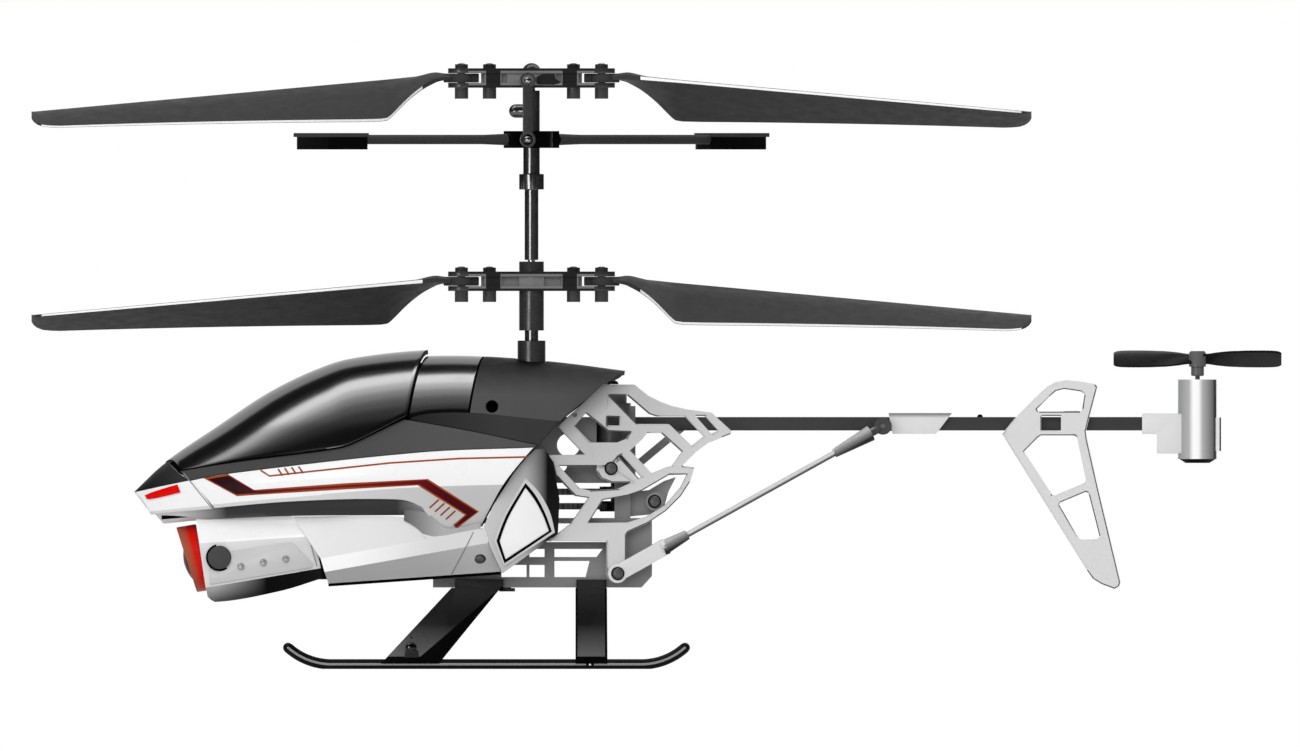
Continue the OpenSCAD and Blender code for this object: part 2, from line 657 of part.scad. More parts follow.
// Domed screws through the side frames, and the two that hold the lower body
screw_head_r = 1.33;
clevis_wall = 1.3;
module frame_screws() {
    head_h = 0.9;
    color(charcoal) both_sides() {
        for (i = [0:2])
        let (p = pin_places[i], lift = [0, -frame_wall, clevis_wall + gap][i])
        toed(frame_hinge) translate([(p[0] - frame_hinge[0]) / cos(toe_in), p[1], -lift]) {
            translate([0, 0, -gap]) cylinder(r = pin_r, h = lift + frame_wall + 1.6);
            translate([0, 0, -head_h - gap]) cylinder(r1 = screw_head_r - 0.4, r2 = screw_head_r, h = head_h);
        }
        across(body_screw, 0.7, 12.6, 16);
        across(body_screw, 1.1, 15.75, 16.35);
    }
}

// Tail: boom, stays, fin, motor and lift rotor
boom_x = [-11, 100];
stay_top = [45.3, 48.6];
module tail_boom() {
    color(rotor_black)
        box([boom_x[0], -boom_w / 2, boom_z - boom_w / 2], [boom_x[1], boom_w / 2, boom_z + boom_w / 2]);
}
peg_r = 0.5;
clamp_half = 2.2;
clamp_outline = [[46.4, 51.2], [59.1, 51.2], [55.9, 47], [47.2, 47]];
ear_outline = [[43.9, 47.6], [47.4, 47.6], [47.4, 49.8], [43.9, 49.8]];
module boom_clamp() {
    color(white_plastic) {
        difference() {
            side_plate(clamp_outline, -clamp_half, 2 * clamp_half);
            box([40, -boom_w / 2, boom_z - boom_w / 2], [70, boom_w / 2, boom_z + boom_w / 2]);
        }
        both_sides() {
            side_plate(ear_outline, boom_w / 2, clamp_half - boom_w / 2);
            across(stay_top, peg_r, clamp_half - 0.3, 4.9);
        }
    }
}
stay_angle = atan((stay_top[1] - pin_places[2][1]) * cos(toe_in) / (stay_top[0] - pin_places[2][0]));
stay_length = (stay_top[1] - pin_places[2][1]) / sin(stay_angle);
stay_rod_r = 0.6;
sleeve_x = [10.4, 16.2];
rod_grip = 4;
module on_stay() {
    toed(frame_hinge)
        translate([(pin_places[2][0] - frame_hinge[0]) / cos(toe_in), pin_places[2][1], -gap - clevis_wall])
        rotate([0, 0, stay_angle]) children();
}
module stay_clevis_right() {
    color(white_plastic) on_stay() difference() {
        union() {
            cylinder(r = foot_r, h = clevis_wall);
            translate([0, -1.6, 0]) cube([sleeve_x[0] + 1, 3.2, clevis_wall]);
            translate([sleeve_x[0], 0, clevis_wall / 2]) rotate([0, 90, 0])
                cylinder(r1 = 1.55, r2 = 1, h = sleeve_x[1] - sleeve_x[0]);
        }
        translate([0, 0, -gap]) cylinder(r = pin_r, h = 2 * clevis_wall);
        translate([sleeve_x[1] - rod_grip, 0, clevis_wall / 2]) rotate([0, 90, 0])
            cylinder(r = stay_rod_r, h = 2 * rod_grip);
    }
}
module stay_clevis_left() {
    left() stay_clevis_right();
}
module stay_rod_right() {
    end_from = stay_length - 11.4;
    eye_r = 1.75;
    color("#c4c6c8") difference() {
        union() {
            on_stay() translate([0, 0, clevis_wall / 2]) rotate([0, 90, 0]) {
                translate([0, 0, sleeve_x[1] - rod_grip])
                    cylinder(r = stay_rod_r, h = end_from - sleeve_x[1] + rod_grip + 1);
                translate([0, 0, end_from]) cylinder(r1 = 0.9, r2 = 1.6, h = 8.4);
                translate([0, 0, end_from + 8.3]) cylinder(r = 0.8, h = 2);
            }
            across(stay_top, eye_r, clamp_half + gap, 4.8);
        }
        across(stay_top, peg_r, 0, 10);
    }
}
module stay_rod_left() {
    left() stay_rod_right();
}
fin_outline = [
    [69.1, 47], [71.8, 50.3], [76.6, 55.1], [78.2, 56.5], [79.8, 57.4], [81.9, 57.8], [84.1, 57.6],
    [87.7, 57], [88.2, 56.5], [86.7, 50.8], [85.9, 47.6], [86.1, 46], [88.5, 35.4], [92.8, 17.4],
    [92.6, 16.6], [91.6, 16], [88.9, 17], [87.3, 18], [86.1, 19.7]
];
fin_windows = [
    [[76.1, 52], [78.6, 54.5], [79.9, 55.6], [81.5, 56], [84.9, 55.5], [85.6, 55], [85.1, 51.8],
     [84.8, 51.5], [76.4, 51.5]],
    [[77, 47.7], [80.9, 47.7], [80.9, 50.6], [77, 50.6]],
    [[73.5, 43.5], [76.4, 46.4], [76.9, 46.7], [83.6, 46.7], [84.1, 46.3], [85.9, 37.8], [85.7, 37.3],
     [79.6, 34.7], [79.1, 34.9]],
    [[80.5, 32.9], [80.8, 33.3], [85.8, 35.4], [86.4, 35.1], [88.6, 26.5], [88.2, 26], [84.8, 25.9],
     [84.3, 26.4]]
];
fin_wall = 1.2;
module tail_fin() {
    clip_x = [81.6, 84.6];
    clip_wall = 0.9;
    low = boom_z - boom_w / 2;
    high = boom_z + boom_w / 2;
    color(silver_plastic) {
        difference() {
            side_plate(fin_outline, -boom_w / 2 - fin_wall, fin_wall);
            for (w = fin_windows) side_plate(w, -boom_w / 2 - 2 * fin_wall, 3 * fin_wall);
        }
        difference() {
            box([clip_x[0], -boom_w / 2 - fin_wall / 2, low - clip_wall],
                [clip_x[1], boom_w / 2 + clip_wall, high + clip_wall]);
            box([clip_x[0] - 1, -boom_w / 2, low], [clip_x[1] + 1, boom_w / 2, high]);
        }
    }
}
tail_motor_z = [42, 57.9];
mount_outline = [[97.1, 47], [100.1, 47], [100.1, 43.1], [106, 43.1], [106, 51.1], [97.1, 51.1]];
mount_half = 2.4;
module tail_motor_mount() {
    color(white_plastic) difference() {
        side_plate(mount_outline, -mount_half, 2 * mount_half);
        translate([tail_rotor_x, 0, 0]) cylinder(r = tail_motor_r, h = 80);
        box([90, -boom_w / 2, boom_z - boom_w / 2], [boom_x[1], boom_w / 2, boom_z + boom_w / 2]);
    }
}
tail_shaft_r = 0.47;
module tail_motor() {
    cap_h = 0.8;
    bore_h = 8;
    color("#b9bbbd") translate([tail_rotor_x, 0, tail_motor_z[0]]) difference() {
        union() {
            cylinder(r = tail_motor_r, h = tail_motor_z[1] - tail_motor_z[0]);
            translate([0, 0, -cap_h])
                cylinder(r1 = tail_motor_r - 1.5, r2 = tail_motor_r - 0.1, h = cap_h + 0.1);
            translate([tail_motor_r - 0.4, -1.4, 1.6]) cube([1.2, 2.8, 6.7]);
        }
        translate([0, 0, tail_motor_z[1] - tail_motor_z[0] - bore_h])
            cylinder(r = tail_shaft_r + run_gap, h = 2 * bore_h);
    }
}
// Section of a blade: at radius r, chord c with its leading edge at edge_y, nose-up by pitch
function blade_ring(r, c, thick, pitch, edge_y, edge_z) =
    let (shape = [[1, 0.1], [0.7, 0.55], [0.3, 0.7], [0, 0.2], [0, -0.2], [0.3, -0.3], [0.7, -0.2],
                  [1, -0.1]])
    [
        for (s = shape)
        let (y = s[0] * c, z = s[1] * thick)
        [r, edge_y + y * cos(pitch) + z * sin(pitch), edge_z - y * sin(pitch) + z * cos(pitch)]
    ];
module tail_blade() {
    chord_line = [[0, 3], [2, 3.2], [4, 4.6], [8, 7], [12, 7.7], [15, 7.7], [16.2, 7.1], [tail_rotor_r, 5.6]];
    pitch_line = [[0, 36], [8, 24], [tail_rotor_r, 22]];
    loft([
        for (r = [0, 2, 3, 4, 6, 8, 10, 12, 15, 16.2, tail_rotor_r])
        let (c = line_at(chord_line, r), pitch = lookup(r, pitch_line))
        blade_ring(r, c, 0.8, pitch, -c / 2 * cos(pitch), c / 2 * sin(pitch))
    ]);
}
module tail_rotor() {
    hub_z = [58.6, 60.4, 63.6];
    blade_z = 62;
    shaft_from = 51;
    color(rotor_black) translate([tail_rotor_x, 0, 0]) {
        translate([0, 0, shaft_from]) cylinder(r = tail_shaft_r, h = blade_z - shaft_from);
        translate([0, 0, hub_z[0]]) cylinder(r = 1.3, h = hub_z[1] - hub_z[0] + 0.5);
        translate([0, 0, hub_z[1]]) cylinder(r = 1.7, h = hub_z[2] - hub_z[1]);
        for (turn = [0, 180]) rotate([0, 0, turn]) translate([0, 0, blade_z]) tail_blade();
    }
}

// Landing gear: splayed legs saddled on two skid tubes
skid_x = [-65, -3];
skid_bend = 42;
skid_bend_r = 13;
skid_z = 0.93;
leg_wall = 2.5;
leg_top_y = [8.4, 11.3];
module skid_path() {
    translate([skid_x[0], skid_y, skid_z]) rotate([0, 90, 0]) cylinder(r = skid_r, h = skid_x[1] - skid_x[0]);
}
module skid_end() {
    translate([0, 0, skid_bend_r]) rotate([90, 0, 0]) rotate([0, 0, -90]) {
        rotate_extrude(angle = skid_bend) translate([skid_bend_r, 0]) circle(r = skid_r);
        rotate([0, 0, skid_bend]) translate([skid_bend_r, 0, 0]) sphere(r = skid_r - gap);
    }
}
module skid_right() {
    color(gloss_black) difference() {
        union() {
            skid_path();
            translate([skid_x[1], skid_y, skid_z]) skid_end();
            translate([skid_x[0], skid_y, skid_z]) mirror([1, 0, 0]) skid_end();
        }
        translate([-100, 0, -10]) cube([120, 40, 10]);
    }
}
module skid_left() {
    left() skid_right();
}
// A leg from its top to its saddle, given its fore and aft edges at both ends
module leg(top_x, low_x, tab_x) {
    low_z = 1.1;
    tab_z = 17.9;
    top_z = tray_z - gap;
    low_y = [skid_y - leg_wall / 2, skid_y + leg_wall / 2];
    color(gloss_black) difference() {
        union() {
            loft([
                [[low_x[0], low_y[0], low_z], [low_x[1], low_y[0], low_z], [low_x[1], low_y[1], low_z],
                 [low_x[0], low_y[1], low_z]],
                [[top_x[0], leg_top_y[0], top_z], [top_x[1], leg_top_y[0], top_z],
                 [top_x[1], leg_top_y[1], top_z], [top_x[0], leg_top_y[1], top_z]]
            ]);
            box([tab_x[0], chassis_y + gap, top_z - 0.5], [tab_x[1], leg_top_y[1], tab_z]);
        }
        skid_path();
    }
}
module front_leg_right() {
    leg([-41, -31.2], [-55.1, -43.5], [-40.3, -30.6]);
}
module front_leg_left() {
    left() front_leg_right();
}
module rear_leg_right() {
    leg([-16.2, -9.9], [-16.2, -9.8], [-16, -10.1]);
}
module rear_leg_left() {
    left() rear_leg_right();
}

// Gears: involute teeth, a little thin so that they run free
pressure_angle = 20;
gear_z = [[31.9, 33.2], [34.8, 36.1]];
tooth_play = 0.09;
function involute(angle) = tan(angle) * 180 / PI - angle;
function tooth_half_angle(r, pitch_r) =
    let (
        base_r = pitch_r * cos(pressure_angle),
        play = tooth_play / pitch_r * 90 / PI,
        flank = acos(min(1, base_r / max(r, base_r)))
    )
    45 * gear_module / pitch_r - play + involute(pressure_angle) - involute(flank);
module toothed_disc(teeth, tip, root) {
    pitch_r = gear_module * teeth / 2;
    radii = [pitch_r - root, pitch_r - root * 0.4, pitch_r, pitch_r + tip * 0.5, pitch_r + tip];
    polygon([
        for (i = [0:teeth - 1])
        for (side = [-1, 1])
        for (k = [0:4])
        let (r = radii[side < 0 ? k : 4 - k], a = 360 * i / teeth + side * tooth_half_angle(r, pitch_r))
        [r * cos(a), r * sin(a)]
    ]);
}
module main_gear(level, hub_low, hub_high, bore) {
    rib_holes = 6;
    color(charcoal) translate([mast_x, 0, 0]) difference() {
        union() {
            translate([0, 0, gear_z[level][0]]) linear_extrude(gear_z[level][1] - gear_z[level][0])
                toothed_disc(gear_teeth, 0.32, 0.5);
            translate([0, 0, hub_low]) cylinder(r = 2.4, h = hub_high - hub_low);
        }
        cylinder(r = bore, h = 60);
        for (i = [0:rib_holes - 1]) rotate([0, 0, 360 * (i + 0.5) / rib_holes]) translate([8.4, 0, 0])
            cylinder(r = 3, h = 60);
    }
}
module lower_gear() {
    main_gear(0, 30.5, 34, inner_shaft_r);
}
module upper_gear() {
    main_gear(1, 34.4, 36.9, outer_shaft_r);
}
module pinion(level) {
    reach = 43;
    margin = 0.4;
    half_tooth = 180 / pinion_teeth;
    color("#b08d3c") {
        translate([0, 0, gear_z[level][0] - margin])
            linear_extrude(gear_z[level][1] - gear_z[level][0] + 2 * margin)
            rotate([0, 0, half_tooth]) toothed_disc(pinion_teeth, 0.34, 0.5);
        translate([0, 0, gear_z[level][0] - margin])
            cylinder(r = motor_shaft_r, h = reach - gear_z[level][0]);
    }
}
// Each pinion is turned so that one of its tooth spaces faces a tooth of its gear
gear_tooth_turn = motor_angle - 360 / gear_teeth * floor(motor_angle * gear_teeth / 360);
pinion_turn = motor_angle + gear_tooth_turn * gear_teeth / pinion_teeth;
module pinion_right() {
    translate([motor_place[0], motor_place[1], 0]) rotate([0, 0, pinion_turn]) pinion(0);
}
module pinion_left() {
    left() translate([motor_place[0], motor_place[1], 0]) rotate([0, 0, pinion_turn]) pinion(1);
}

// Shafts: the inner one turns the upper rotor, the outer one the lower rotor
inner_shaft_z = [27.8, 119];
outer_shaft_z = [34.3, 81.2];
cross_pin_r = 0.5;
cross_pin_half = 3.9;
module cross_pin(z, r) {
    translate([mast_x - cross_pin_half, 0, z]) rotate([0, 90, 0]) cylinder(r = r, h = 2 * cross_pin_half);
}
module inner_shaft() {
    color("#c4c6c8") {
        translate([mast_x, 0, inner_shaft_z[0]])
            cylinder(r = inner_shaft_r, h = inner_shaft_z[1] - inner_shaft_z[0]);
        cross_pin(flybar_z, cross_pin_r);
        cross_pin(upper_rotor_z, cross_pin_r);
    }
}
module outer_shaft() {
    color(rotor_black) translate([mast_x, 0, outer_shaft_z[0]]) difference() {
        cylinder(r = outer_shaft_r, h = outer_shaft_z[1] - outer_shaft_z[0]);
        translate([0, 0, -1]) cylinder(r = inner_shaft_r + run_gap, h = outer_shaft_z[1]);
    }
}
module mast_sleeve() {
    levels = [81.8, 95.9, 99, 115.7];
    radii = [1.37, 2.47, 1.65];
    stub_z = 111.6;
    stub_reach = 4.5;
    stub_r = 1.35;
    color(rotor_black) difference() {
        union() {
            for (i = [0:2])
                translate([mast_x, 0, levels[i]]) cylinder(r = radii[i], h = levels[i + 1] - levels[i]);
            translate([mast_x - stub_reach + stub_r, 0, stub_z]) {
                sphere(r = stub_r);
                rotate([0, 90, 0]) cylinder(r = stub_r, h = stub_reach - stub_r);
            }
        }
        translate([mast_x, 0, levels[0] - 1]) cylinder(r = inner_shaft_r, h = 40);
        cross_pin(flybar_z, cross_pin_r);
    }
}

// Blade grip: two flanges on a middle block, with a screw hinge at each end
hinge_x = 14;
inner_screw_x = 8.4;
grip_half_h = 1.95;
flange_h = 1;
grip_end_r = 2.7;
hinge_r = 0.8;
module grip() {
    block = [18.6, 4.6];
    web = [12.2, 3.2];
    tang_web = [20.2, 2.4];
    boss_h = 2.2;
    head_h = 0.8;
    for (z = [-grip_half_h, grip_half_h - flange_h]) translate([0, 0, z]) linear_extrude(flange_h) {
        square([2 * hinge_x, 2 * grip_end_r], center = true);
        for (side = [-1, 1]) translate([side * hinge_x, 0]) circle(r = grip_end_r);
    }
    linear_extrude(2 * grip_half_h, center = true) {
        square(web, center = true);
        square(tang_web, center = true);
        for (side = [-1, 1]) translate([side * (block[0] + web[0]) / 4, 0])
            square([(block[0] - web[0]) / 2 + 0.2, block[1]], center = true);
    }
    for (side = [-1, 1]) {
        for (x = [inner_screw_x, hinge_x]) translate([side * x, 0, 0]) {
            translate([0, 0, -grip_half_h - boss_h]) cylinder(r = 1.35, h = boss_h + flange_h / 2);
            translate([0, 0, grip_half_h - flange_h / 2]) cylinder(r = 1.3, h = head_h + flange_h / 2);
        }
        translate([side * hinge_x, 0, -grip_half_h]) cylinder(r = hinge_r, h = 2 * grip_half_h);
    }
}
link_x = -0.76;
link_y = -5.2;
link_drop = 0.5;
ball_r = 0.8;
module link_ball(root_y) {
    translate([link_x, root_y, 0]) rotate([90, 0, 0]) cylinder(r = 0.55, h = root_y - link_y);
    translate([link_x, link_y, 0]) sphere(r = ball_r);
}
module rotor_head() {
    room = [1.1, 1.5];
    cap_h = 1.05;
    cap_r = 1.9;
    color(gloss_black) translate([mast_x, 0, upper_rotor_z]) difference() {
        union() {
            grip();
            translate([0, 0, grip_half_h + cap_h - cap_r]) sphere(r = cap_r);
            cube([2 * cross_pin_half + 2, 4.6, 2 * grip_half_h], center = true);
            translate([0, 0, -link_drop]) link_ball(-2);
        }
        box([-room[0], -room[1], -2 * grip_half_h], [room[0], room[1], 1.3]);
        translate([-cross_pin_half - 0.3, 0, 0]) rotate([0, 90, 0])
            cylinder(r = cross_pin_r + run_gap, h = 2 * cross_pin_half + 0.6);
    }
}
module lower_hub() {
    collar_z = [67.7, 81.5];
    color(gloss_black) translate([mast_x, 0, 0]) difference() {
        union() {
            translate([0, 0, lower_rotor_z]) grip();
            translate([0, 0, lower_rotor_z]) cube([5, 4.6, 2 * grip_half_h], center = true);
            translate([0, 0, collar_z[0]]) cylinder(r = 2.48, h = collar_z[1] - collar_z[0]);
        }
        cylinder(r = outer_shaft_r, h = outer_shaft_z[1]);
        cylinder(r = inner_shaft_r + 2 * run_gap, h = 2 * collar_z[1]);
    }
}
module paddle_plate(from, size, low, high) {
    half = size[1] / 2;
    translate([from, 0, low]) linear_extrude(high - low)
        polygon([[0, -0.64 * half], [0.12 * size[0], -half], [size[0], -0.88 * half], [size[0], 0.88 * half],
                 [0.12 * size[0], half], [0, 0.64 * half]]);
}
module flybar() {
    ring_r = 4.2;
    ring_h = 3.4;
    bore_r = 2.35;
    block = 11.4;
    rod_r = 0.95;
    flare = [1.22, 9];
    paddle = [11, 13];
    paddle_z = [-2, 0.5, 1.3];
    lid_edge = 0.5;
    root = flybar_radius - paddle[0];
    color(rotor_black) translate([mast_x, 0, flybar_z]) difference() {
        union() {
            linear_extrude(ring_h, center = true) difference() {
                union() {
                    circle(r = ring_r);
                    rotate([0, 0, flybar_angle]) square([block, ring_h], center = true);
                }
                circle(r = bore_r);
            }
            link_ball(-3.6);
            rotate([0, 0, flybar_angle]) {
                for (turn = [0, 180]) rotate([0, 0, turn]) {
                    translate([block / 2 - 1, 0, 0]) rotate([0, 90, 0])
                        cylinder(r = rod_r, h = root - block / 2 + 3);
                    translate([block / 2 - 1, 0, 0]) rotate([0, 90, 0])
                        cylinder(r1 = flare[0], r2 = rod_r - 0.05, h = flare[1]);
                    paddle_plate(root, paddle - [lid_edge, 2 * lid_edge], paddle_z[0], paddle_z[1] + 0.1);
                    paddle_plate(root, paddle, paddle_z[1], paddle_z[2]);
                }
            }
        }
        translate([-cross_pin_half - 0.3, 0, 0]) rotate([0, 90, 0])
            cylinder(r = cross_pin_r + run_gap, h = 2 * cross_pin_half + 0.6);
    }
}
module rotor_link() {
    eye_r = 1.62;
    eye_bore = 1.05;
    wall = 1;
    bar_w = 2;
    ends = [flybar_z, upper_rotor_z - link_drop];
    color(gloss_black) translate([mast_x + link_x, link_y + wall / 2, 0]) rotate([90, 0, 0])
        linear_extrude(wall) difference() {
            union() {
                for (z = ends) translate([0, z]) circle(r = eye_r);
                translate([-bar_w / 2, ends[0]]) square([bar_w, ends[1] - ends[0]]);
            }
            for (z = ends) translate([0, z]) circle(r = eye_bore);
        }
}

// Blades: a tang on the hinge screw, then a thin twisted blade that hangs a little below level
blade_stations = [16.2, 17, 18.2, 20, 22.5, 25, 26.6, 27.8, 28.7, 30.2, 34, 45, 60, 75, 88, 95, 97.5, 98.8,
                  99.6, 100];
widest_r = 28.7;
module blade() {
    chord_line = [[16, 4.2], [18, 5.6], [21.5, 9.6], [25, 14.4], [26.6, 16.6], [27.8, blade_chord - 1],
                  [widest_r, blade_chord - 0.5], [30.2, blade_chord - 0.1], [34, blade_chord - 0.3],
                  [95, tip_chord], [97.5, tip_chord - 1.2], [98.8, tip_chord - 3.4], [99.6, tip_chord - 6],
                  [100, tip_chord - 9]];
    pitch_line = [[16, 0], [widest_r, root_pitch], [100, tip_pitch]];
    edge_line = [[16, -2.1], [20, -3.2], [widest_r, -4.4], [95, -4], [97.5, -2.9], [98.8, -0.9],
                 [99.6, 1.6], [100, 4.2]];
    thick_line = [[16, 1.1], [17, 1.2], [20, 1.8], [widest_r, 1.4], [100, 0.9]];
    lift = 0.5;
    tang_h = 1.8;
    tang_reach = [-3.5, 3.6];
    color(rotor_black) difference() {
        union() {
            loft([
                for (r = blade_stations)
                blade_ring(r * rotor_radius / 100, lookup(r, chord_line), lookup(r, thick_line),
                           lookup(r, pitch_line), lookup(r, edge_line),
                           lift * min(1, (r - 16) / 3) - tan(blade_droop) * (r - 16))
            ]);
            translate([hinge_x, 0, 0]) linear_extrude(tang_h, center = true) {
                circle(r = 2.5);
                translate([0, -1.6]) square([tang_reach[1], 3.2]);
                translate([tang_reach[0], -1.2]) square([1 - tang_reach[0], 2.4]);
            }
        }
        translate([hinge_x, 0, 0]) cylinder(r = hinge_r + run_gap, h = 2 * tang_h, center = true);
    }
}
module upper_blade_rear() {
    translate([mast_x, 0, upper_rotor_z]) blade();
}
module upper_blade_front() {
    translate([mast_x, 0, upper_rotor_z]) rotate([0, 0, 180]) blade();
}
module lower_blade_rear() {
    translate([mast_x, 0, lower_rotor_z]) left() blade();
}
module lower_blade_front() {
    translate([mast_x, 0, lower_rotor_z]) rotate([0, 0, 180]) left() blade();
}

nose_cap();
headlights();
canopy_glass();
rear_canopy();
rear_hood();
upper_shell_left();
upper_shell_right();
side_shell_left();
side_shell_right();
chin_tray();
belly_shell();
rear_flank_left();
rear_flank_right();
camera_pod();
camera_bezel();
camera_lens();
record_button();
chassis_tray();
gear_deck();
gearbox_frame();
mast_housing();
motors();
battery_pack();
circuit_board();
charge_jack();
power_switch();
side_frame_left();
side_frame_right();
frame_screws();
tail_boom();
boom_clamp();
stay_clevis_left();
stay_clevis_right();
stay_rod_left();
stay_rod_right();
tail_fin();
tail_motor_mount();
tail_motor();
tail_rotor();
front_leg_left();
front_leg_right();
rear_leg_left();
rear_leg_right();
skid_left();
skid_right();
inner_shaft();
mast_sleeve();
lower_gear();
outer_shaft();
upper_gear();
lower_hub();
pinion_left();
pinion_right();
rotor_head();
flybar();
rotor_link();
upper_blade_front();
upper_blade_rear();
lower_blade_front();
lower_blade_rear();
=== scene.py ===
"""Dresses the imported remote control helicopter: shells, paint, blades, screws, finishes and studio."""

import contextlib
import json
import math

import bmesh
import bpy
from mathutils import Matrix, Vector

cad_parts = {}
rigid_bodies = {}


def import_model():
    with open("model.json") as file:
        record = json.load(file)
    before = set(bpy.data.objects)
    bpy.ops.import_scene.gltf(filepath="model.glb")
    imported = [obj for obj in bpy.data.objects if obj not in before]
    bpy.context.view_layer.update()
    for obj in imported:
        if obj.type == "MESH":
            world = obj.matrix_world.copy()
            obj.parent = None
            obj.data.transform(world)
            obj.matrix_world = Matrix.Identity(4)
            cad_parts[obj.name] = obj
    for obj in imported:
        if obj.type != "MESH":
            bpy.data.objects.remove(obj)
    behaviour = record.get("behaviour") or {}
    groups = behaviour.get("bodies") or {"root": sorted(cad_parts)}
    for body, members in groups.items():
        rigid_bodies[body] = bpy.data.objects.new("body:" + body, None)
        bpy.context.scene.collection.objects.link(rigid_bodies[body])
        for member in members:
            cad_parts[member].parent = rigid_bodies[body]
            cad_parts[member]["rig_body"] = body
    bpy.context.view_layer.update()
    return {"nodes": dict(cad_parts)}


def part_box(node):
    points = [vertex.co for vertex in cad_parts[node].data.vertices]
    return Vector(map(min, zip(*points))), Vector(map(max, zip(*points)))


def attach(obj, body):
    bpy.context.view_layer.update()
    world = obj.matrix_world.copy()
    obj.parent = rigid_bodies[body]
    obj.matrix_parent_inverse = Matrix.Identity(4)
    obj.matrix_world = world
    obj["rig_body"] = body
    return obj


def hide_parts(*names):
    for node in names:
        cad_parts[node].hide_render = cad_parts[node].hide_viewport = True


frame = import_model()

bl_info = {
    "name": "Helicopter Dresser",
    "version": (1, 0, 0),
    "blender": (4, 5, 0),
    "location": "3D View > Sidebar > Helicopter",
    "description": "Builds the shells, paint, rotors and finishes of a remote control helicopter on its solids",
    "category": "Object",
}

MM = 0.001
SIDES = (("left", -1), ("right", 1))
AIRFRAME = "airframe"
MAST_X = -25


def srgb(code):
    """A linear colour from a code such as 505050."""
    parts = [int(code[i : i + 2], 16) / 255 for i in (0, 2, 4)]
    return tuple(c / 12.92 if c <= 0.04045 else ((c + 0.055) / 1.055) ** 2.4 for c in parts)


def colour_setting(name, words, code):
    return bpy.props.FloatVectorProperty(
        name=name, description=words, subtype="COLOR", size=3, min=0, max=1, default=srgb(code)
    )


def size_setting(name, words, millimetres):
    return bpy.props.FloatProperty(
        name=name, description=words, unit="LENGTH", precision=5, min=0, default=millimetres * MM
    )


class CabinSettings(bpy.types.PropertyGroup):
    white: colour_setting("White shell", "Colour of the white moulded panels", "f5f5f5")
    charcoal: colour_setting("Charcoal shell", "Colour of the dark satin panels", "444444")
    glass: colour_setting("Canopy", "Colour of the polished canopy", "0c0c0c")
    silver: colour_setting("Silver shell", "Colour of the rear of the belly", "d6d6d6")
    lamp: colour_setting("Lamp", "Colour of the lamps and camera ring", "dc0602")
    stripe: colour_setting("Stripe", "Colour inside the wide stripe", "6c0610")
    stripe_edge: colour_setting("Stripe edge", "Colour of the stripe's edge and the thin lines", "9a441a")
    edge_round: size_setting("Edge rounding", "Radius on the edges of the shells", 0.14)


class RotorSettings(bpy.types.PropertyGroup):
    blade: colour_setting("Blades", "Colour of the main blades and the flybar", "383838")
    hub: colour_setting("Hubs", "Colour of the gloss black hubs and links", "484848")


class StageSettings(bpy.types.PropertyGroup):
    floor: colour_setting("Floor", "Colour of the floor", "f4f4f4")
    view_width: size_setting("View width", "Width that the camera takes in", 260)
    key_power: bpy.props.FloatProperty(
        name="Key light", description="Power of the front softbox, which the other lamps follow",
        unit="POWER", min=0, default=6.3,
    )


def cabin_settings():
    return bpy.context.scene.heli_cabin


def rotor_settings():
    return bpy.context.scene.heli_rotor


def stage_settings():
    return bpy.context.scene.heli_stage


def lerp(a, b, t):
    return a + (b - a) * t


def lookup(points, x):
    """Straight-line value at x of a list of (x, value)."""
    if x <= points[0][0]:
        return points[0][1]
    for (x0, y0), (x1, y1) in zip(points, points[1:]):
        if x <= x1:
            return lerp(y0, y1, (x - x0) / (x1 - x0))
    return points[-1][1]


def curve_at(points, x):
    """Smooth value at x of a curve through a list of (x, value)."""
    last = len(points) - 1
    i = 0
    while i < last - 1 and x >= points[i + 1][0]:
        i += 1

    def slope(k):
        (xa, ya), (xb, yb) = points[max(0, k - 1)], points[min(last, k + 1)]
        return (yb - ya) / (xb - xa)

    (x0, y0), (x1, y1) = points[i], points[i + 1]
    h = x1 - x0
    t = (x - x0) / h
    return (
        y0 * (1 + 2 * t) * (1 - t) ** 2
        + h * slope(i) * t * (1 - t) ** 2
        + y1 * t * t * (3 - 2 * t)
        + h * slope(i + 1) * t * t * (t - 1)
    )


def new_object(name, mesh):
    obj = bpy.data.objects.new(name, mesh)
    bpy.context.scene.collection.objects.link(obj)
    return obj


def mesh_object(name, points, faces):
    """An object from points in millimetres."""
    mesh = bpy.data.meshes.new(name)
    mesh.from_pydata([[c * MM for c in p] for p in points], [], faces)
    mesh.validate()
    return new_object(name, mesh)


def grid_faces(rows, columns, ring=False):
    """Faces of a grid of points, row after row; ring joins the last column to the first."""
    faces = []
    for i in range(rows - 1):
        for j in range(columns if ring else columns - 1):
            k = (j + 1) % columns
            faces.append([i * columns + j, i * columns + k, (i + 1) * columns + k, (i + 1) * columns + j])
    return faces


def prism_faces(n):
    """Faces of a prism: the points of one end, then those of the other."""
    sides = [[i, (i + 1) % n, n + (i + 1) % n, n + i] for i in range(n)]
    return [list(range(n)), list(range(2 * n - 1, n - 1, -1))] + sides


def sheet_object(name, rows):
    """An open surface through rows of points."""
    return mesh_object(name, [p for r in rows for p in r], grid_faces(len(rows), len(rows[0])))


def loft_object(name, rings):
    """A closed solid through rings of points."""
    n = len(rings[0])
    faces = grid_faces(len(rings), n, ring=True)
    faces.append(list(range(n)))
    faces.append([(len(rings) - 1) * n + j for j in reversed(range(n))])
    obj = mesh_object(name, [p for r in rings for p in r], faces)
    tidy_normals(obj.data)
    return obj


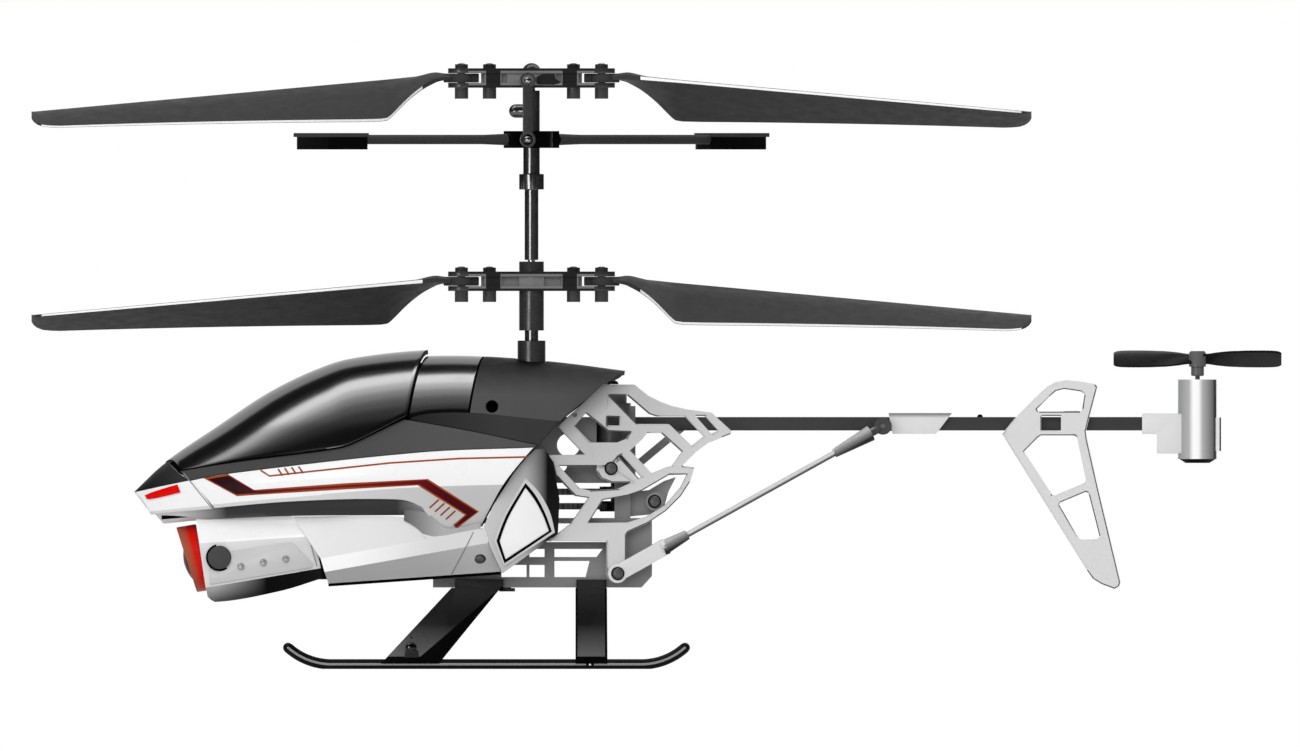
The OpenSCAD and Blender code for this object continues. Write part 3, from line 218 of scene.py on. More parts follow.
@contextlib.contextmanager
def edited(mesh):
    """A mesh opened for editing, and written back afterwards."""
    bm = bmesh.new()
    bm.from_mesh(mesh)
    yield bm
    bm.to_mesh(mesh)
    bm.free()


def tidy_normals(mesh, merge=1e-7):
    """Merges doubles and turns the faces of a closed mesh outwards."""
    with edited(mesh) as bm:
        bmesh.ops.remove_doubles(bm, verts=bm.verts, dist=merge)
        bmesh.ops.recalc_face_normals(bm, faces=bm.faces)


def face_away_from(obj, centre):
    """Turns an open surface so that its faces look away from a line along X through centre."""
    mesh = obj.data
    y, z = centre[1] * MM, centre[2] * MM
    look = sum(f.normal.y * (f.center.y - y) + f.normal.z * (f.center.z - z) for f in mesh.polygons)
    if look < 0:
        mesh.flip_normals()


def settle(obj, sharp=38):
    """Makes the evaluated shape the object's own mesh, shaded smooth up to an angle."""
    graph = bpy.context.evaluated_depsgraph_get()
    shown = obj.evaluated_get(graph)
    mesh = bpy.data.meshes.new_from_object(shown, preserve_all_data_layers=True, depsgraph=graph)
    old = obj.data
    obj.modifiers.clear()
    obj.data = mesh
    mesh.name = obj.name
    bpy.data.meshes.remove(old)
    mesh.shade_smooth()
    mesh.set_sharp_from_angle(angle=math.radians(sharp))
    return obj


def round_edges(obj, radius, segments, angle):
    bevel = obj.modifiers.new("Round", "BEVEL")
    bevel.width = radius
    bevel.segments = segments
    bevel.limit_method = "ANGLE"
    bevel.angle_limit = math.radians(angle)
    bevel.miter_outer = "MITER_ARC"
    weigh = obj.modifiers.new("Flat faces", "WEIGHTED_NORMAL")
    weigh.keep_sharp = True


def machined(obj, radius, cutters=(), segments=2, angle=40, sharp=38):
    """Cuts the cutters out of a solid and rounds its edges; a radius of 0 leaves them sharp."""
    for cutter in cutters:
        cut = obj.modifiers.new("Cut", "BOOLEAN")
        cut.operation = "DIFFERENCE"
        cut.solver = "EXACT"
        cut.object = cutter
    if radius:
        round_edges(obj, radius, segments, angle)
    settle(obj, sharp)
    for cutter in cutters:
        bpy.data.objects.remove(cutter)
    return obj


def shell_object(name, rows, wall, centre, radius=None, cutters=(), keep=None, even=True):
    """A moulded wall: rows of its outer surface, thickened inwards, cut and with rounded edges.

    keep says of a place in millimetres whether the surface is there.
    """
    obj = sheet_object(name, rows)
    if keep:
        with edited(obj.data) as bm:
            gone = [f for f in bm.faces if not keep(f.calc_center_median() / MM)]
            bmesh.ops.delete(bm, geom=gone, context="FACES")
    face_away_from(obj, centre)
    solid = obj.modifiers.new("Wall", "SOLIDIFY")
    solid.thickness = wall * MM
    solid.offset = -1
    solid.use_even_offset = even
    return machined(obj, cabin_settings().edge_round if radius is None else radius, cutters)


def round_angles(steps):
    return [2 * math.pi * k / steps for k in range(steps)]


def tube_object(name, start, end, radius, steps=32):
    """A round bar from start to end, in millimetres."""
    start, end = Vector(start), Vector(end)
    turn = (end - start).to_track_quat("Z", "Y")
    circle = [turn @ Vector((radius * math.cos(a), radius * math.sin(a), 0)) for a in round_angles(steps)]
    return loft_object(name, [[at + p for p in circle] for at in (start, end)])


def finish(obj, look, body, slot, *nodes):
    """Gives a piece its finish and its body, and hides the solids that it stands for; slot is not used."""
    obj.data.materials.clear()
    obj.data.materials.append(FINISHES[look])
    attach(obj, body)
    if nodes:
        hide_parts(*nodes)
    return obj


def colour_faces(obj, zone):
    """Gives the faces of a piece the finishes that zone names by place (mm) and direction."""
    names = []
    for face in obj.data.polygons:
        name = zone(face.center / MM, face.normal)
        if name:
            if name not in names:
                names.append(name)
                obj.data.materials.append(FINISHES[name])
            face.material_index = 1 + names.index(name)


def joined(name, objects):
    """One object from several, which are removed."""
    mesh = bpy.data.meshes.new(name)
    bm = bmesh.new()
    for obj in objects:
        bm.from_mesh(obj.data)
    bm.to_mesh(mesh)
    bm.free()
    for obj in objects:
        old = obj.data
        bpy.data.objects.remove(obj)
        bpy.data.meshes.remove(old)
    return new_object(name, mesh)


def node_of(tree, kind, **settings):
    node = tree.nodes.new(kind)
    for key, value in settings.items():
        if key.startswith("in_"):
            node.inputs[key[3:].replace("_", " ")].default_value = value
        else:
            setattr(node, key, value)
    return node


def noise_on(tree, place, scale, detail):
    noise = node_of(tree, "ShaderNodeTexNoise", in_Scale=scale, in_Detail=detail)
    tree.links.new(place.outputs["Object"], noise.inputs["Vector"])
    return noise


def ramp_between(tree, factor, low, high, out_low, out_high):
    span = node_of(tree, "ShaderNodeMapRange")
    for key, value in (("From Min", low), ("From Max", high), ("To Min", out_low), ("To Max", out_high)):
        span.inputs[key].default_value = value
    tree.links.new(factor, span.inputs["Value"])
    return span.outputs["Result"]


CLOUD_SCALE, SMEAR_SCALE = 140, 420
GRAIN_DEPTH = 0.2 * MM
COAT_ROUGHNESS = 0.2
BRUSH_STRETCH = 60


def moulded(
    name, colour, rough, mottle=0.05, grain=0.02, grain_scale=9000, metal=0.0, coat=0.0, fades=(), ior=1.5,
    gloss=0.5, uneven=0.15, rim=1.0,
):
    """A finish with faint cloudiness, uneven gloss and a fine grain.

    Each of fades is (direction, from mm, to mm, colour): the colour that it turns to in that direction.
    rim is how bright a metal is at its edges.
    """
    material = bpy.data.materials.new(name)
    material.use_nodes = True
    tree = material.node_tree
    tree.nodes.clear()
    out = node_of(tree, "ShaderNodeOutputMaterial")
    shader = node_of(tree, "ShaderNodeBsdfPrincipled", in_Metallic=metal)
    for key, value in (
        ("Coat Weight", coat), ("Coat Roughness", COAT_ROUGHNESS), ("IOR", ior), ("Specular IOR Level", gloss),
        ("Specular Tint", (rim, rim, rim, 1)),
    ):
        shader.inputs[key].default_value = value
    place = node_of(tree, "ShaderNodeTexCoord", name="Place")
    clouds = noise_on(tree, place, CLOUD_SCALE, 3)
    smears = noise_on(tree, place, SMEAR_SCALE, 4)
    fine = noise_on(tree, place, grain_scale, 1)
    fine.name = "Grain"
    shade = node_of(tree, "ShaderNodeMix", data_type="RGBA")
    shade.inputs["A"].default_value = (*[c * (1 - mottle) for c in colour], 1)
    shade.inputs["B"].default_value = (*[min(1, c * (1 + mottle) + mottle * 0.004) for c in colour], 1)
    tree.links.new(clouds.outputs["Fac"], shade.inputs["Factor"])
    tint = shade.outputs["Result"]
    for direction, start, end, other in fades:
        along = node_of(tree, "ShaderNodeVectorMath", operation="DOT_PRODUCT")
        along.inputs[1].default_value = direction
        tree.links.new(place.outputs["Object"], along.inputs[0])
        share = ramp_between(tree, along.outputs["Value"], start * MM, end * MM, 0, 1)
        turned = node_of(tree, "ShaderNodeMix", data_type="RGBA")
        turned.inputs["B"].default_value = (*other, 1)
        tree.links.new(share, turned.inputs["Factor"])
        tree.links.new(tint, turned.inputs["A"])
        tint = turned.outputs["Result"]
    tree.links.new(tint, shader.inputs["Base Color"])
    dull, bright = min(1, rough * (1 + uneven)), rough * (1 - uneven)
    tree.links.new(ramp_between(tree, smears.outputs["Fac"], 0.3, 0.7, bright, dull), shader.inputs["Roughness"])
    bump = node_of(tree, "ShaderNodeBump", in_Strength=grain, in_Distance=GRAIN_DEPTH)
    tree.links.new(fine.outputs["Fac"], bump.inputs["Height"])
    tree.links.new(bump.outputs["Normal"], shader.inputs["Normal"])
    tree.links.new(shader.outputs["BSDF"], out.inputs["Surface"])
    return material


def brushed(name, colour, rough):
    """Metal with fine upright lines."""
    material = moulded(name, colour, rough, mottle=0.04, grain=0.03, metal=1)
    tree = material.node_tree
    pull = node_of(tree, "ShaderNodeMapping", in_Scale=(1, 1, 1 / BRUSH_STRETCH))
    tree.links.new(tree.nodes["Place"].outputs["Object"], pull.inputs["Vector"])
    tree.links.new(pull.outputs["Vector"], tree.nodes["Grain"].inputs["Vector"])
    return material


FINISHES = {}


def make_finishes():
    """The finishes of this helicopter, by name."""
    cabin, rotor = cabin_settings(), rotor_settings()
    aft, up, off_hood, stay_low = (1, 0, 0), (0, 0, 1), (0.637, 0, -0.771), (0.485, 0, -0.875)
    lens_axis = (0.97, 0, 0.26)
    FINISHES.update(
        white=moulded("white_shell", tuple(cabin.white), 0.3, mottle=0.012, coat=0.2, gloss=0.3),
        charcoal=moulded("charcoal_shell", tuple(cabin.charcoal), 0.5, grain=0.05, gloss=0.1,
                         fades=[(aft, -72, -42, srgb("505050"))]),
        # painted shade: the hood turns near black towards its top
        hood=moulded("hood_charcoal", srgb("4e4e4e"), 0.5, grain=0.05, gloss=0.08,
                     fades=[(up, 54.8, 61.4, srgb("030303"))]),
        facet=moulded("shaded_facet", srgb("181818"), 0.5, grain=0.05, gloss=0.1,
                      fades=[(aft, -50, -30, srgb("363636"))]),
        # painted shade: the nose's charcoal top is near black at the tip and lighter towards the rear
        snout=moulded("snout_charcoal", srgb("0c0c0c"), 0.5, grain=0.05, gloss=0.06,
                      fades=[(aft, -104, -95, srgb("303030"))]),
        glass=moulded("canopy_gloss", tuple(cabin.glass), 0.16, mottle=0.05, grain=0.0, ior=2.0, uneven=0.03),
        silver=moulded("silver_shell", srgb("e8e8e8"), 0.38, mottle=0.015, gloss=0.3,
                       fades=[(aft, -70, -40, tuple(cabin.silver))]),
        # painted highlight: the band under the ridge is white at the front and greys towards the rear
        ridge=moulded("ridge_white", srgb("f8f8f8"), 0.34, mottle=0.015, gloss=0.3,
                      fades=[(aft, -62, -44, srgb("d6d6d6"))]),
        trim=moulded("trim_silver", srgb("cecece"), 0.38, mottle=0.015, gloss=0.2),
        band=moulded("panel_band", srgb("dadada"), 0.34, mottle=0.015, gloss=0.3,
                     fades=[(aft, -70, -38, srgb("c4c4c4"))]),
        belly_grey=moulded("band_grey", srgb("d8d8d8"), 0.34, mottle=0.015, gloss=0.3),
        belly_shade=moulded("belly_shade", srgb("c4c4c4"), 0.4, mottle=0.02, gloss=0.3),
        # painted shade: the pod's underside darkens downwards and turns near black towards the rear
        pod_under=moulded("pod_under", srgb("c0c0c0"), 0.36, mottle=0.03, gloss=0.04,
                          fades=[((0.16, 0, -0.987), -30.4, -27.6, srgb("606060")),
                                 (aft, -88.5, -78, srgb("040404"))]),
        panel=moulded("pod_plate", srgb("c6c6c6"), 0.34, mottle=0.015, gloss=0.3),
        seam=moulded("seam_grey", srgb("8c8c8c"), 0.5, mottle=0.05, gloss=0.2),
        outline=moulded("edge_shade", srgb("484848"), 0.5, mottle=0.05, gloss=0.05),
        boss=moulded("boss_grey", srgb("5e5e5e"), 0.3, mottle=0.06, gloss=0.2),
        # painted shade: the flank greys upwards and turns near black along its rear edge
        flank=moulded("flank_shell", srgb("c4c4c4"), 0.4, mottle=0.015, gloss=0.2,
                      fades=[(up, 30, 41, srgb("b4b4b4")), (aft, -26.5, -21.8, srgb("0c0c0c"))]),
        pane=moulded("pane_white", srgb("f4f4f4"), 0.35, mottle=0.01, gloss=0.3),
        gasket=moulded("gasket_black", srgb("050505"), 0.45, gloss=0.02),
        # painted shadow under the white panels' overhang: pale at the nose, dark along the middle, lighter towards
        # the rear
        belt=moulded("belt_charcoal", srgb("dcdcdc"), 0.45, grain=0.04, gloss=0.15,
                     fades=[(aft, -95.5, -86, srgb("383838")), (aft, -52, -43, srgb("b0b0b0"))]),
        lamp=moulded("lamp_red", tuple(cabin.lamp), 0.25, mottle=0.06, gloss=0.1),
        bezel=moulded("bezel_red", srgb("d62414"), 0.25, mottle=0.06, gloss=0.1,
                      fades=[(lens_axis, -86.6, -85.4, srgb("a0543c")), (lens_axis, -84.8, -83.6, srgb("d01408"))]),
        stripe=moulded("stripe_maroon", srgb("2c0a10"), 0.32, mottle=0.12, gloss=0.1,
                       fades=[(aft, -84, -72, tuple(cabin.stripe)), (aft, -50, -42, srgb("48000c"))]),
        edge=moulded("stripe_edge", tuple(cabin.stripe_edge), 0.35, mottle=0.12, gloss=0.1),
        lens=moulded("lens_dark", srgb("050304"), 0.2, ior=1.15),
        grey=moulded("frame_grey", srgb("808080"), 0.5, mottle=0.05, grain=0.06, gloss=0.2),
        # painted shade: the frames are dark where they pass under the hood and pale further from it
        frames=moulded("frame_silver", srgb("303030"), 0.34, mottle=0.015, gloss=0.25,
                       fades=[(off_hood, -52, -46, srgb("b8b8b8")), (off_hood, -46, -28, srgb("d2d2d2"))]),
        mount=moulded("mount_white", srgb("dedede"), 0.34, mottle=0.015, gloss=0.3),
        # painted shade: a grey band along the top edge of the clamp
        clamp=moulded("clamp_white", srgb("dedede"), 0.34, mottle=0.015, gloss=0.3,
                      fades=[(up, 50.2, 50.9, srgb("8a8a8a"))]),
        # painted shade: the sockets darken to near black on their lower side
        socket=moulded("socket_grey", srgb("b8b8b8"), 0.34, mottle=0.03, gloss=0.2,
                       fades=[(stay_low, -21.4, -20.6, srgb("7c7c7c")), (stay_low, -20.5, -19.6, srgb("181818"))]),
        motor=moulded("motor_dark", srgb("505050"), 0.4, mottle=0.06, gloss=0.25),
        gear=moulded("gear_nylon", srgb("444444"), 0.42, mottle=0.06, gloss=0.25),
        bump=moulded("bump_silver", srgb("bcbcbc"), 0.2, mottle=0.03, metal=0.6),
        fin=moulded("fin_grey", srgb("dadada"), 0.36, mottle=0.02, gloss=0.3),
        blade=moulded("blade_plastic", tuple(rotor.blade), 0.5, mottle=0.03, grain=0.015, gloss=0.06),
        # painted highlight along the blades' edges
        blade_edge=moulded("blade_edge", srgb("f6f6f6"), 0.35, mottle=0.01),
        propeller=moulded("propeller_plastic", srgb("141414"), 0.3, mottle=0.06, grain=0.015, gloss=0.04),
        mast=moulded("mast_plastic", srgb("6a6a6a"), 0.22, mottle=0.06, metal=0.93, rim=0.03),
        block=moulded("grip_block", srgb("222222"), 0.35, mottle=0.08, gloss=0.05),
        grip=moulded("grip_grey", srgb("727272"), 0.4, mottle=0.05, gloss=0.1),
        hub=moulded("hub_gloss", tuple(rotor.hub), 0.27, mottle=0.15, metal=0.6, rim=0.03),
        ball=moulded("ball_black", srgb("040404"), 0.16, mottle=0.1, gloss=0.6),
        # painted sheen on the black legs: grey near the foot, darkest at mid-height, a little lighter at the top
        leg=moulded("leg_gloss", srgb("585858"), 0.3, mottle=0.08, gloss=0.1,
                    fades=[(up, 3, 9, srgb("181818")), (up, 11, 17, srgb("2a2a2a"))]),
        skid=moulded("skid_satin", srgb("0c0c0c"), 0.4, mottle=0.08, gloss=0.1),
        # painted highlight: a grey line along the side of each skid
        skid_line=moulded("skid_line", srgb("8c8c8c"), 0.35, mottle=0.05, gloss=0.2),
        clip=moulded("clip_grey", srgb("262626"), 0.4, mottle=0.06, gloss=0.15),
        boom=moulded("boom_black", srgb("3c3c3c"), 0.42, mottle=0.06, grain=0.05, gloss=0.15),
        screw=moulded("screw_dark", srgb("565656"), 0.36, mottle=0.1, metal=0.3),
        button=moulded("button_rubber", srgb("444444"), 0.6, grain=0.08, gloss=0.2),
        # painted highlight and shade on the tail motor's barrel: grey at the front, a white stripe near its middle,
        # dark grey to black at the rear edge
        alloy=moulded("barrel_alloy", srgb("a0a1a2"), 0.34, mottle=0.03, gloss=0.2,
                      fades=[(aft, 104.4, 106.4, srgb("b2b2b2")), (aft, 106.5, 107.4, srgb("fcfcfc")),
                             (aft, 108.4, 109.2, srgb("b4b4b4")), (aft, 109.2, 111.2, srgb("7c7c7c")),
                             (aft, 111.2, 111.7, srgb("080808"))]),
        # painted shade: the stay rods darken along their lower side
        rod=moulded("rod_alloy", srgb("d4d4d4"), 0.36, mottle=0.03, gloss=0.2,
                    fades=[(stay_low, -20.55, -20.2, srgb("505050"))]),
        steel=brushed("shaft_steel", srgb("a8a8a8"), 0.25),
        pinion=moulded("pinion_nylon", srgb("343434"), 0.35, mottle=0.08, gloss=0.3),
        board=moulded("board_green", srgb("1f6b3a"), 0.4, mottle=0.15),
        foil=moulded("battery_foil", srgb("b8babd"), 0.3, mottle=0.08, metal=0.6),
    )


# Side-view lines of the cabin: each point is a place along X and a height, in millimetres
ROOF = [(-104.6, 35.3), (-98.5, 41), (-88.2, 47.9), (-76.7, 55.2), (-65.2, 60.2), (-57.6, 61.7), (-46, 62.6),
        (-34, 62.5), (-20, 61.4), (-6, 59.6)]
WAIST = [(-104.6, 34.4), (-90, 36), (-70, 38), (-25, 39.5), (-6, 39.5)]
GLASS_SEAM = [(-96, 39.5), (-84.3, 41.4), (-65.2, 43.9), (-61.4, 44.8), (-49.9, 50.2)]
HOOD_SEAM = [(-50, 50.2), (-45.2, 51.2), (-37.4, 51.3), (-19.5, 49.6), (-6, 49.6)]
SHELL_TOP = GLASS_SEAM + HOOD_SEAM[1:]
PAINT_LINE = [(-104.6, 35.3), (-95.8, 37.2), (-85.9, 39.1), (-47.3, 43.4), (-24.3, 44.4)]
FACET_LINE = [(-50.5, 50), (-37, 47.6), (-24.1, 44.9), (-19, 43.8)]
CREASE = [(-104.6, 31.4), (-100.6, 31.8), (-73, 34.4), (-46.3, 36.4), (-24, 37)]
BAND_BOTTOM = [(-104.6, 30.5), (-101, 30.9), (-94.3, 31.5), (-72.9, 33.4), (-52, 33.8), (-47.5, 32.5),
               (-44.5, 29.2), (-42, 27.2), (-34.8, 28.4)]
SHELL_WALL = 0.9
LINER_WALL = 0.3
LINER_ENDS = (-99, -29.5)
MAST_HOLE = 3.1
VENT_X, VENT_Z, VENT_RADIUS = -32.9, 52.5, 1.26
HALF_WIDTH = 20
WIDEST_FROM, WIDEST_TO = -40, -30
NOSE_TAPER = 65.6
SECTION_POWER = 1.8
SIDE_TUCK = 0.12
CREASE_TUCK = 0.2
SEAM = 0.08


def half_width(x):
    if x < WIDEST_FROM:
        return HALF_WIDTH * max(0, 1 - ((WIDEST_FROM - x) / NOSE_TAPER) ** 2.2) ** 0.75
    if x > WIDEST_TO:
        return HALF_WIDTH * (1 - 0.0042 * (x - WIDEST_TO) ** 1.35)
    return HALF_WIDTH


def roof_height(x):
    return curve_at(ROOF, x) - curve_at(WAIST, x)


def angle_at(x, z):
    share = (z - curve_at(WAIST, x)) / roof_height(x)
    return math.asin(max(0, min(1, share)) ** (SECTION_POWER / 2))


def section_point(x, angle, grow=0):
    e = 2 / SECTION_POWER
    y = (half_width(x) + grow) * max(0, math.cos(angle)) ** e
    return [x, y, curve_at(WAIST, x) + (roof_height(x) + grow) * math.sin(angle) ** e]


def side_point(x, z, grow=0):
    """The cabin's right-hand surface at a place in side view; it tucks in below the waist and again
    below the crease."""
    waist = curve_at(WAIST, x)
    if z >= waist:
        return section_point(x, angle_at(x, z), grow)
    tuck = SIDE_TUCK * (waist - z) + CREASE_TUCK * max(0, curve_at(CREASE, x) - z)
    return [x, half_width(x) + grow - tuck, z]


def mirrored(rows, side):
    return [[[x, side * y, z] for x, y, z in row] for row in rows]


def roof_rows(front, rear, seam, proud=(0, 0), columns=56, steps=22):
    rows = []
    for i in range(columns + 1):
        u = i / columns
        row = []
        for k in range(-steps, steps + 1):
            v = 1 - abs(k) / steps
            x = lerp(lookup(front, v), lookup(rear, v), u)
            low = angle_at(x, curve_at(seam, x))
            p = section_point(x, lerp(low, math.pi / 2, v), lerp(*proud, u))
            row.append([p[0], math.copysign(p[1], -k) if k else 0, p[2]])
        rows.append(row)
    return rows


def side_rows(front, rear, low, high, columns=70, levels=18, proud=0, middle=None):
    """Rows of a side panel between two lines.

    If there is a middle line, a third of the levels is below it.
    """
    rows = []
    for i in range(columns + 1):
        row = []
        for k in range(levels + 1):
            v = share = k / levels
            for _ in range(6):
                x = lerp(lookup(front, v), lookup(rear, v), i / columns)
                knee = 1 / 3
                if middle:
                    knee = max(0.03, min(0.97, (middle(x) - low(x)) / (high(x) - low(x))))
                v = lerp(0, knee, share * 3) if share < 1 / 3 else lerp(knee, 1, share * 1.5 - 0.5)
            row.append(side_point(x, lerp(low(x) + SEAM, high(x) - SEAM, v), proud))
        rows.append(row)
    return rows


def line(points):
    return lambda x: curve_at(points, x)


CABIN_CENTRE = (-60, 0, 40)
CANOPY_PANELS = (
    # piece, node, front edge, rear edge, seam, how far it stands proud, finish, slot
    ("canopy_front", "canopy_glass", [(0, -95.3), (1, -98.3)], [(0, -49.8), (1, -45.7)],
     GLASS_SEAM, (0.2, 1.2), "glass", "black_glass"),
    ("canopy_rear", "rear_canopy", [(0, -49.7), (1, -45.8)], [(0, -37.6), (1, -34.4)],
     HOOD_SEAM, (0, 0), "glass", "black_glass"),
    ("engine_hood", "rear_hood", [(0, -37.3), (1, -34.1)],
     [(0, -19.4), (0.25, -13.8), (0.5, -9.6), (0.75, -7.2), (1, -6.3)],
     HOOD_SEAM, (0, 0), "hood", "charcoal_shell"),
)


def liner_rows(stations=60, steps=16):
    """Rows of the dark lining behind the shells, which closes the gaps between them; its black is painted shade,
    the dark inside of the cabin.
    """
    rows = []
    for i in range(stations + 1):
        x = lerp(*LINER_ENDS, i / stations)
        low, high = curve_at(BAND_BOTTOM, min(x, -48)) - 1.2, curve_at(ROOF, x)
        side_inset = lerp(-1.3, -2.6, max(0, x + 35) / 5.5)
        top_inset = lerp(-0.5, -1.3, min(1, (x - LINER_ENDS[0]) / 8))
        half = []
        for k in range(steps + 1):
            z = lerp(low, high, math.sin(math.pi / 2 * k / steps))
            half.append(side_point(x, z, top_inset if k > 10 else side_inset))
        half[-1][1] = 0
        rows.append([[x, -y, z] for x, y, z in half[:-1]] + half[::-1])
    return rows


def rim_of_glass(p, normal, seam):
    """The dull edges of a glass panel."""
    return "gasket" if abs(normal.x + 0.2) > 0.5 or p.z < curve_at(seam, p.x) + 0.3 else None


class HELI_OT_canopy(bpy.types.Operator):
    """Builds the canopy, the panel behind it and the hood round the mast"""

    bl_idname = "heli.canopy"
    bl_label = "Canopy and hood"

    def execute(self, context):
        for name, node, front, rear, seam, proud, look, slot in CANOPY_PANELS:
            cutters = []
            if node == "rear_hood":
                cutters.append(tube_object("mast_cutter", (MAST_X, 0, 54), (MAST_X, 0, 70), MAST_HOLE))
                across = [(VENT_X, y, VENT_Z) for y in (-30, 30)]
                cutters.append(tube_object("vent_cutter", *across, VENT_RADIUS))
            rows = roof_rows(front, rear, seam, proud)
            shell = shell_object(name, rows, SHELL_WALL, CABIN_CENTRE, cutters=cutters)
            finish(shell, look, AIRFRAME, slot, node)
            if look == "glass":
                paint_zones(shell, lambda p, normal: rim_of_glass(p, normal, seam), [])
        # the lining's black is painted shade: it shows as the dark inside of the cabin through the gaps
        liner = shell_object("cabin_liner", liner_rows(), LINER_WALL, CABIN_CENTRE, 0.02 * MM)
        finish(liner, "gasket", AIRFRAME, "charcoal_shell")
        return {"FINISHED"}


def shoulder_top(x):
    return min(curve_at(SHELL_TOP, x), curve_at(FACET_LINE, x)) if x > -50 else curve_at(SHELL_TOP, x)


def band_zone(p, normal):
    """The greyer band below the crease of a side panel."""
    return "band" if p.z < curve_at(CREASE, p.x) - 0.02 else None


# piece and finish, front edge, rear edge, lower line, upper line
SHOULDERS = (
    ("shoulder", "charcoal", [(0, -93.2), (1, -95.3)], [(0, -24.3), (1, -24)], line(PAINT_LINE), shoulder_top),
    ("facet", "facet", [(0, -49.4), (1, -49)], [(0, -23.6), (1, -19.6)], line(FACET_LINE), line(HOOD_SEAM)),
)
PANEL_FRONT = [(0, -88.4), (1, -93.3)]
PANEL_REAR = [(0, -35), (0.262, -32.9), (0.542, -30.5), (0.8, -27.6), (1, -24.4)]


class HELI_OT_sides(bpy.types.Operator):
    """Builds the charcoal shoulders and the white side panels"""

    bl_idname = "heli.sides"
    bl_label = "Side shells"

    def execute(self, context):
        for side, sign in SIDES:
            for name, look, *edges in SHOULDERS:
                rows = mirrored(side_rows(*edges), sign)
                shell = shell_object(f"{name}_{side}", rows, SHELL_WALL, CABIN_CENTRE, even=False)
                finish(shell, look, AIRFRAME, "charcoal_shell", f"upper_shell_{side}")
            rows = side_rows(PANEL_FRONT, PANEL_REAR, line(BAND_BOTTOM), line(PAINT_LINE), 80, 24, 0, line(CREASE))
            shell = shell_object(f"side_panel_{side}", mirrored(rows, sign), SHELL_WALL, CABIN_CENTRE)
            finish(shell, "white", AIRFRAME, "white_shell", f"side_shell_{side}")
            colour_faces(shell, band_zone)
        return {"FINISHED"}


NOSE_TIP = [(0, -101.2), (1, -104.5)]
NOSE_REAR = [(0, -88.6), (0.47, -93.3), (0.6, -95), (0.8, -96.6), (1, -97.8)]
LAMP_LOW = [(-103, 34.1), (-101.2, 33.9), (-95, 35.3)]
LAMP_HIGH = [(-103, 34.6), (-100, 35.7), (-95, 37.2)]
LAMP_FRONT, LAMP_REAR = [(0, -102), (1, -102.4)], [(0, -95.3), (1, -95.9)]
LAMP_PROUD, LAMP_WALL = 0.28, 1.2


def nose_place(u, v):
    x = lerp(lookup(NOSE_TIP, v), lookup(NOSE_REAR, v), u)
    return x, curve_at(BAND_BOTTOM, x), curve_at(ROOF, x)


def share_of(line_points, u):
    """Share of the nose's height at which a line crosses station u."""
    v = 0.4
    for _ in range(12):
        x, low, high = nose_place(u, v)
        v = max(0.02, min(0.98, (curve_at(line_points, x) - low) / (high - low)))
    return v


def nose_ring(u, under, over):
    crease, paint = share_of(CREASE, u), share_of(PAINT_LINE, u)
    shares = [crease * k / 4 for k in range(4)]
    shares += [lerp(crease, paint, k / under) for k in range(under)]
    shares += [lerp(paint, 1, math.sin(math.pi / 2 * k / over)) for k in range(over + 1)]
    half = []
    for v in shares:
        x, low, high = nose_place(u, v)
        half.append(side_point(x, lerp(low, high, v)))
    half[-1][1] = 0
    return half + [[x, -y, z] for x, y, z in reversed(half[:-1])]


def nose_zone(p, normal):
    """The charcoal top of the nose and its greyer underside."""
    if p.z > curve_at(PAINT_LINE, p.x):
        return "snout"
    return "belly_grey" if p.z < curve_at(CREASE, p.x) - 0.2 else None


class HELI_OT_nose(bpy.types.Operator):
    """Builds the two-coloured nose block and its lamps"""

    bl_idname = "heli.nose"
    bl_label = "Nose and lamps"

    def execute(self, context):
        under, over, stations = 8, 14, 30
        nose = loft_object("nose_block", [nose_ring(i / stations, under, over) for i in range(stations + 1)])
        nose.data.materials.append(FINISHES["white"])
        colour_faces(nose, nose_zone)
        machined(nose, 0.25 * MM, segments=3, angle=50, sharp=30)
        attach(nose, AIRFRAME)
        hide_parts("nose_cap")
        for side, sign in SIDES:
            rows = side_rows(LAMP_FRONT, LAMP_REAR, line(LAMP_LOW), line(LAMP_HIGH), 26, 9, LAMP_PROUD)
            lamp = shell_object(f"lamp_{side}", mirrored(rows, sign), LAMP_WALL, CABIN_CENTRE, 0.2 * MM)
            finish(lamp, "lamp", AIRFRAME, "red_lamp", "headlights")
        return {"FINISHED"}


CHIN_BOTTOM = [(-104, 28.9), (-98.5, 29.3), (-87.4, 30.1), (-72.9, 30.7), (-46, 30.9)]
BELLY_TOP = [(-72.7, 30.5), (-51.5, 30.5), (-48.5, 29.2), (-45.5, 26.6), (-43.4, 26.5), (-31, 28.6)]
BELLY_HALF = [(-73, 12.4), (-67.1, 13.6), (-60, 15.6), (-50, 17.4), (-40, 18.3), (-31, 18.7)]
RIDGE = [(-67.2, 22.1), (-34.8, 28)]
SECOND_RIDGE = [(-66.4, 19.4), (-33.8, 25.2)]
BELLY_FLOOR = [(-65.6, 16.5), (-31, 18.9)]
LIP = 0.6
# How far inside the widest place the lip, the two ridges and the top edge of the belly are
LIP_IN, SECOND_IN, RIDGE_IN, TOP_IN = 4.2, 0.1, 0.5, 0.9
# Front and rear ends of the floor, the two ridges and the top edge
BELLY_ENDS = ((-65.6, -31.1), (-66.4, -33.7), (-67.2, -34.6), (-72.7, -34.8))
BELLY_WALL = 0.9
BELT_ENDS = (-100.6, -46.6)
HOLLOW_ENDS = (-50.5, -35.2)


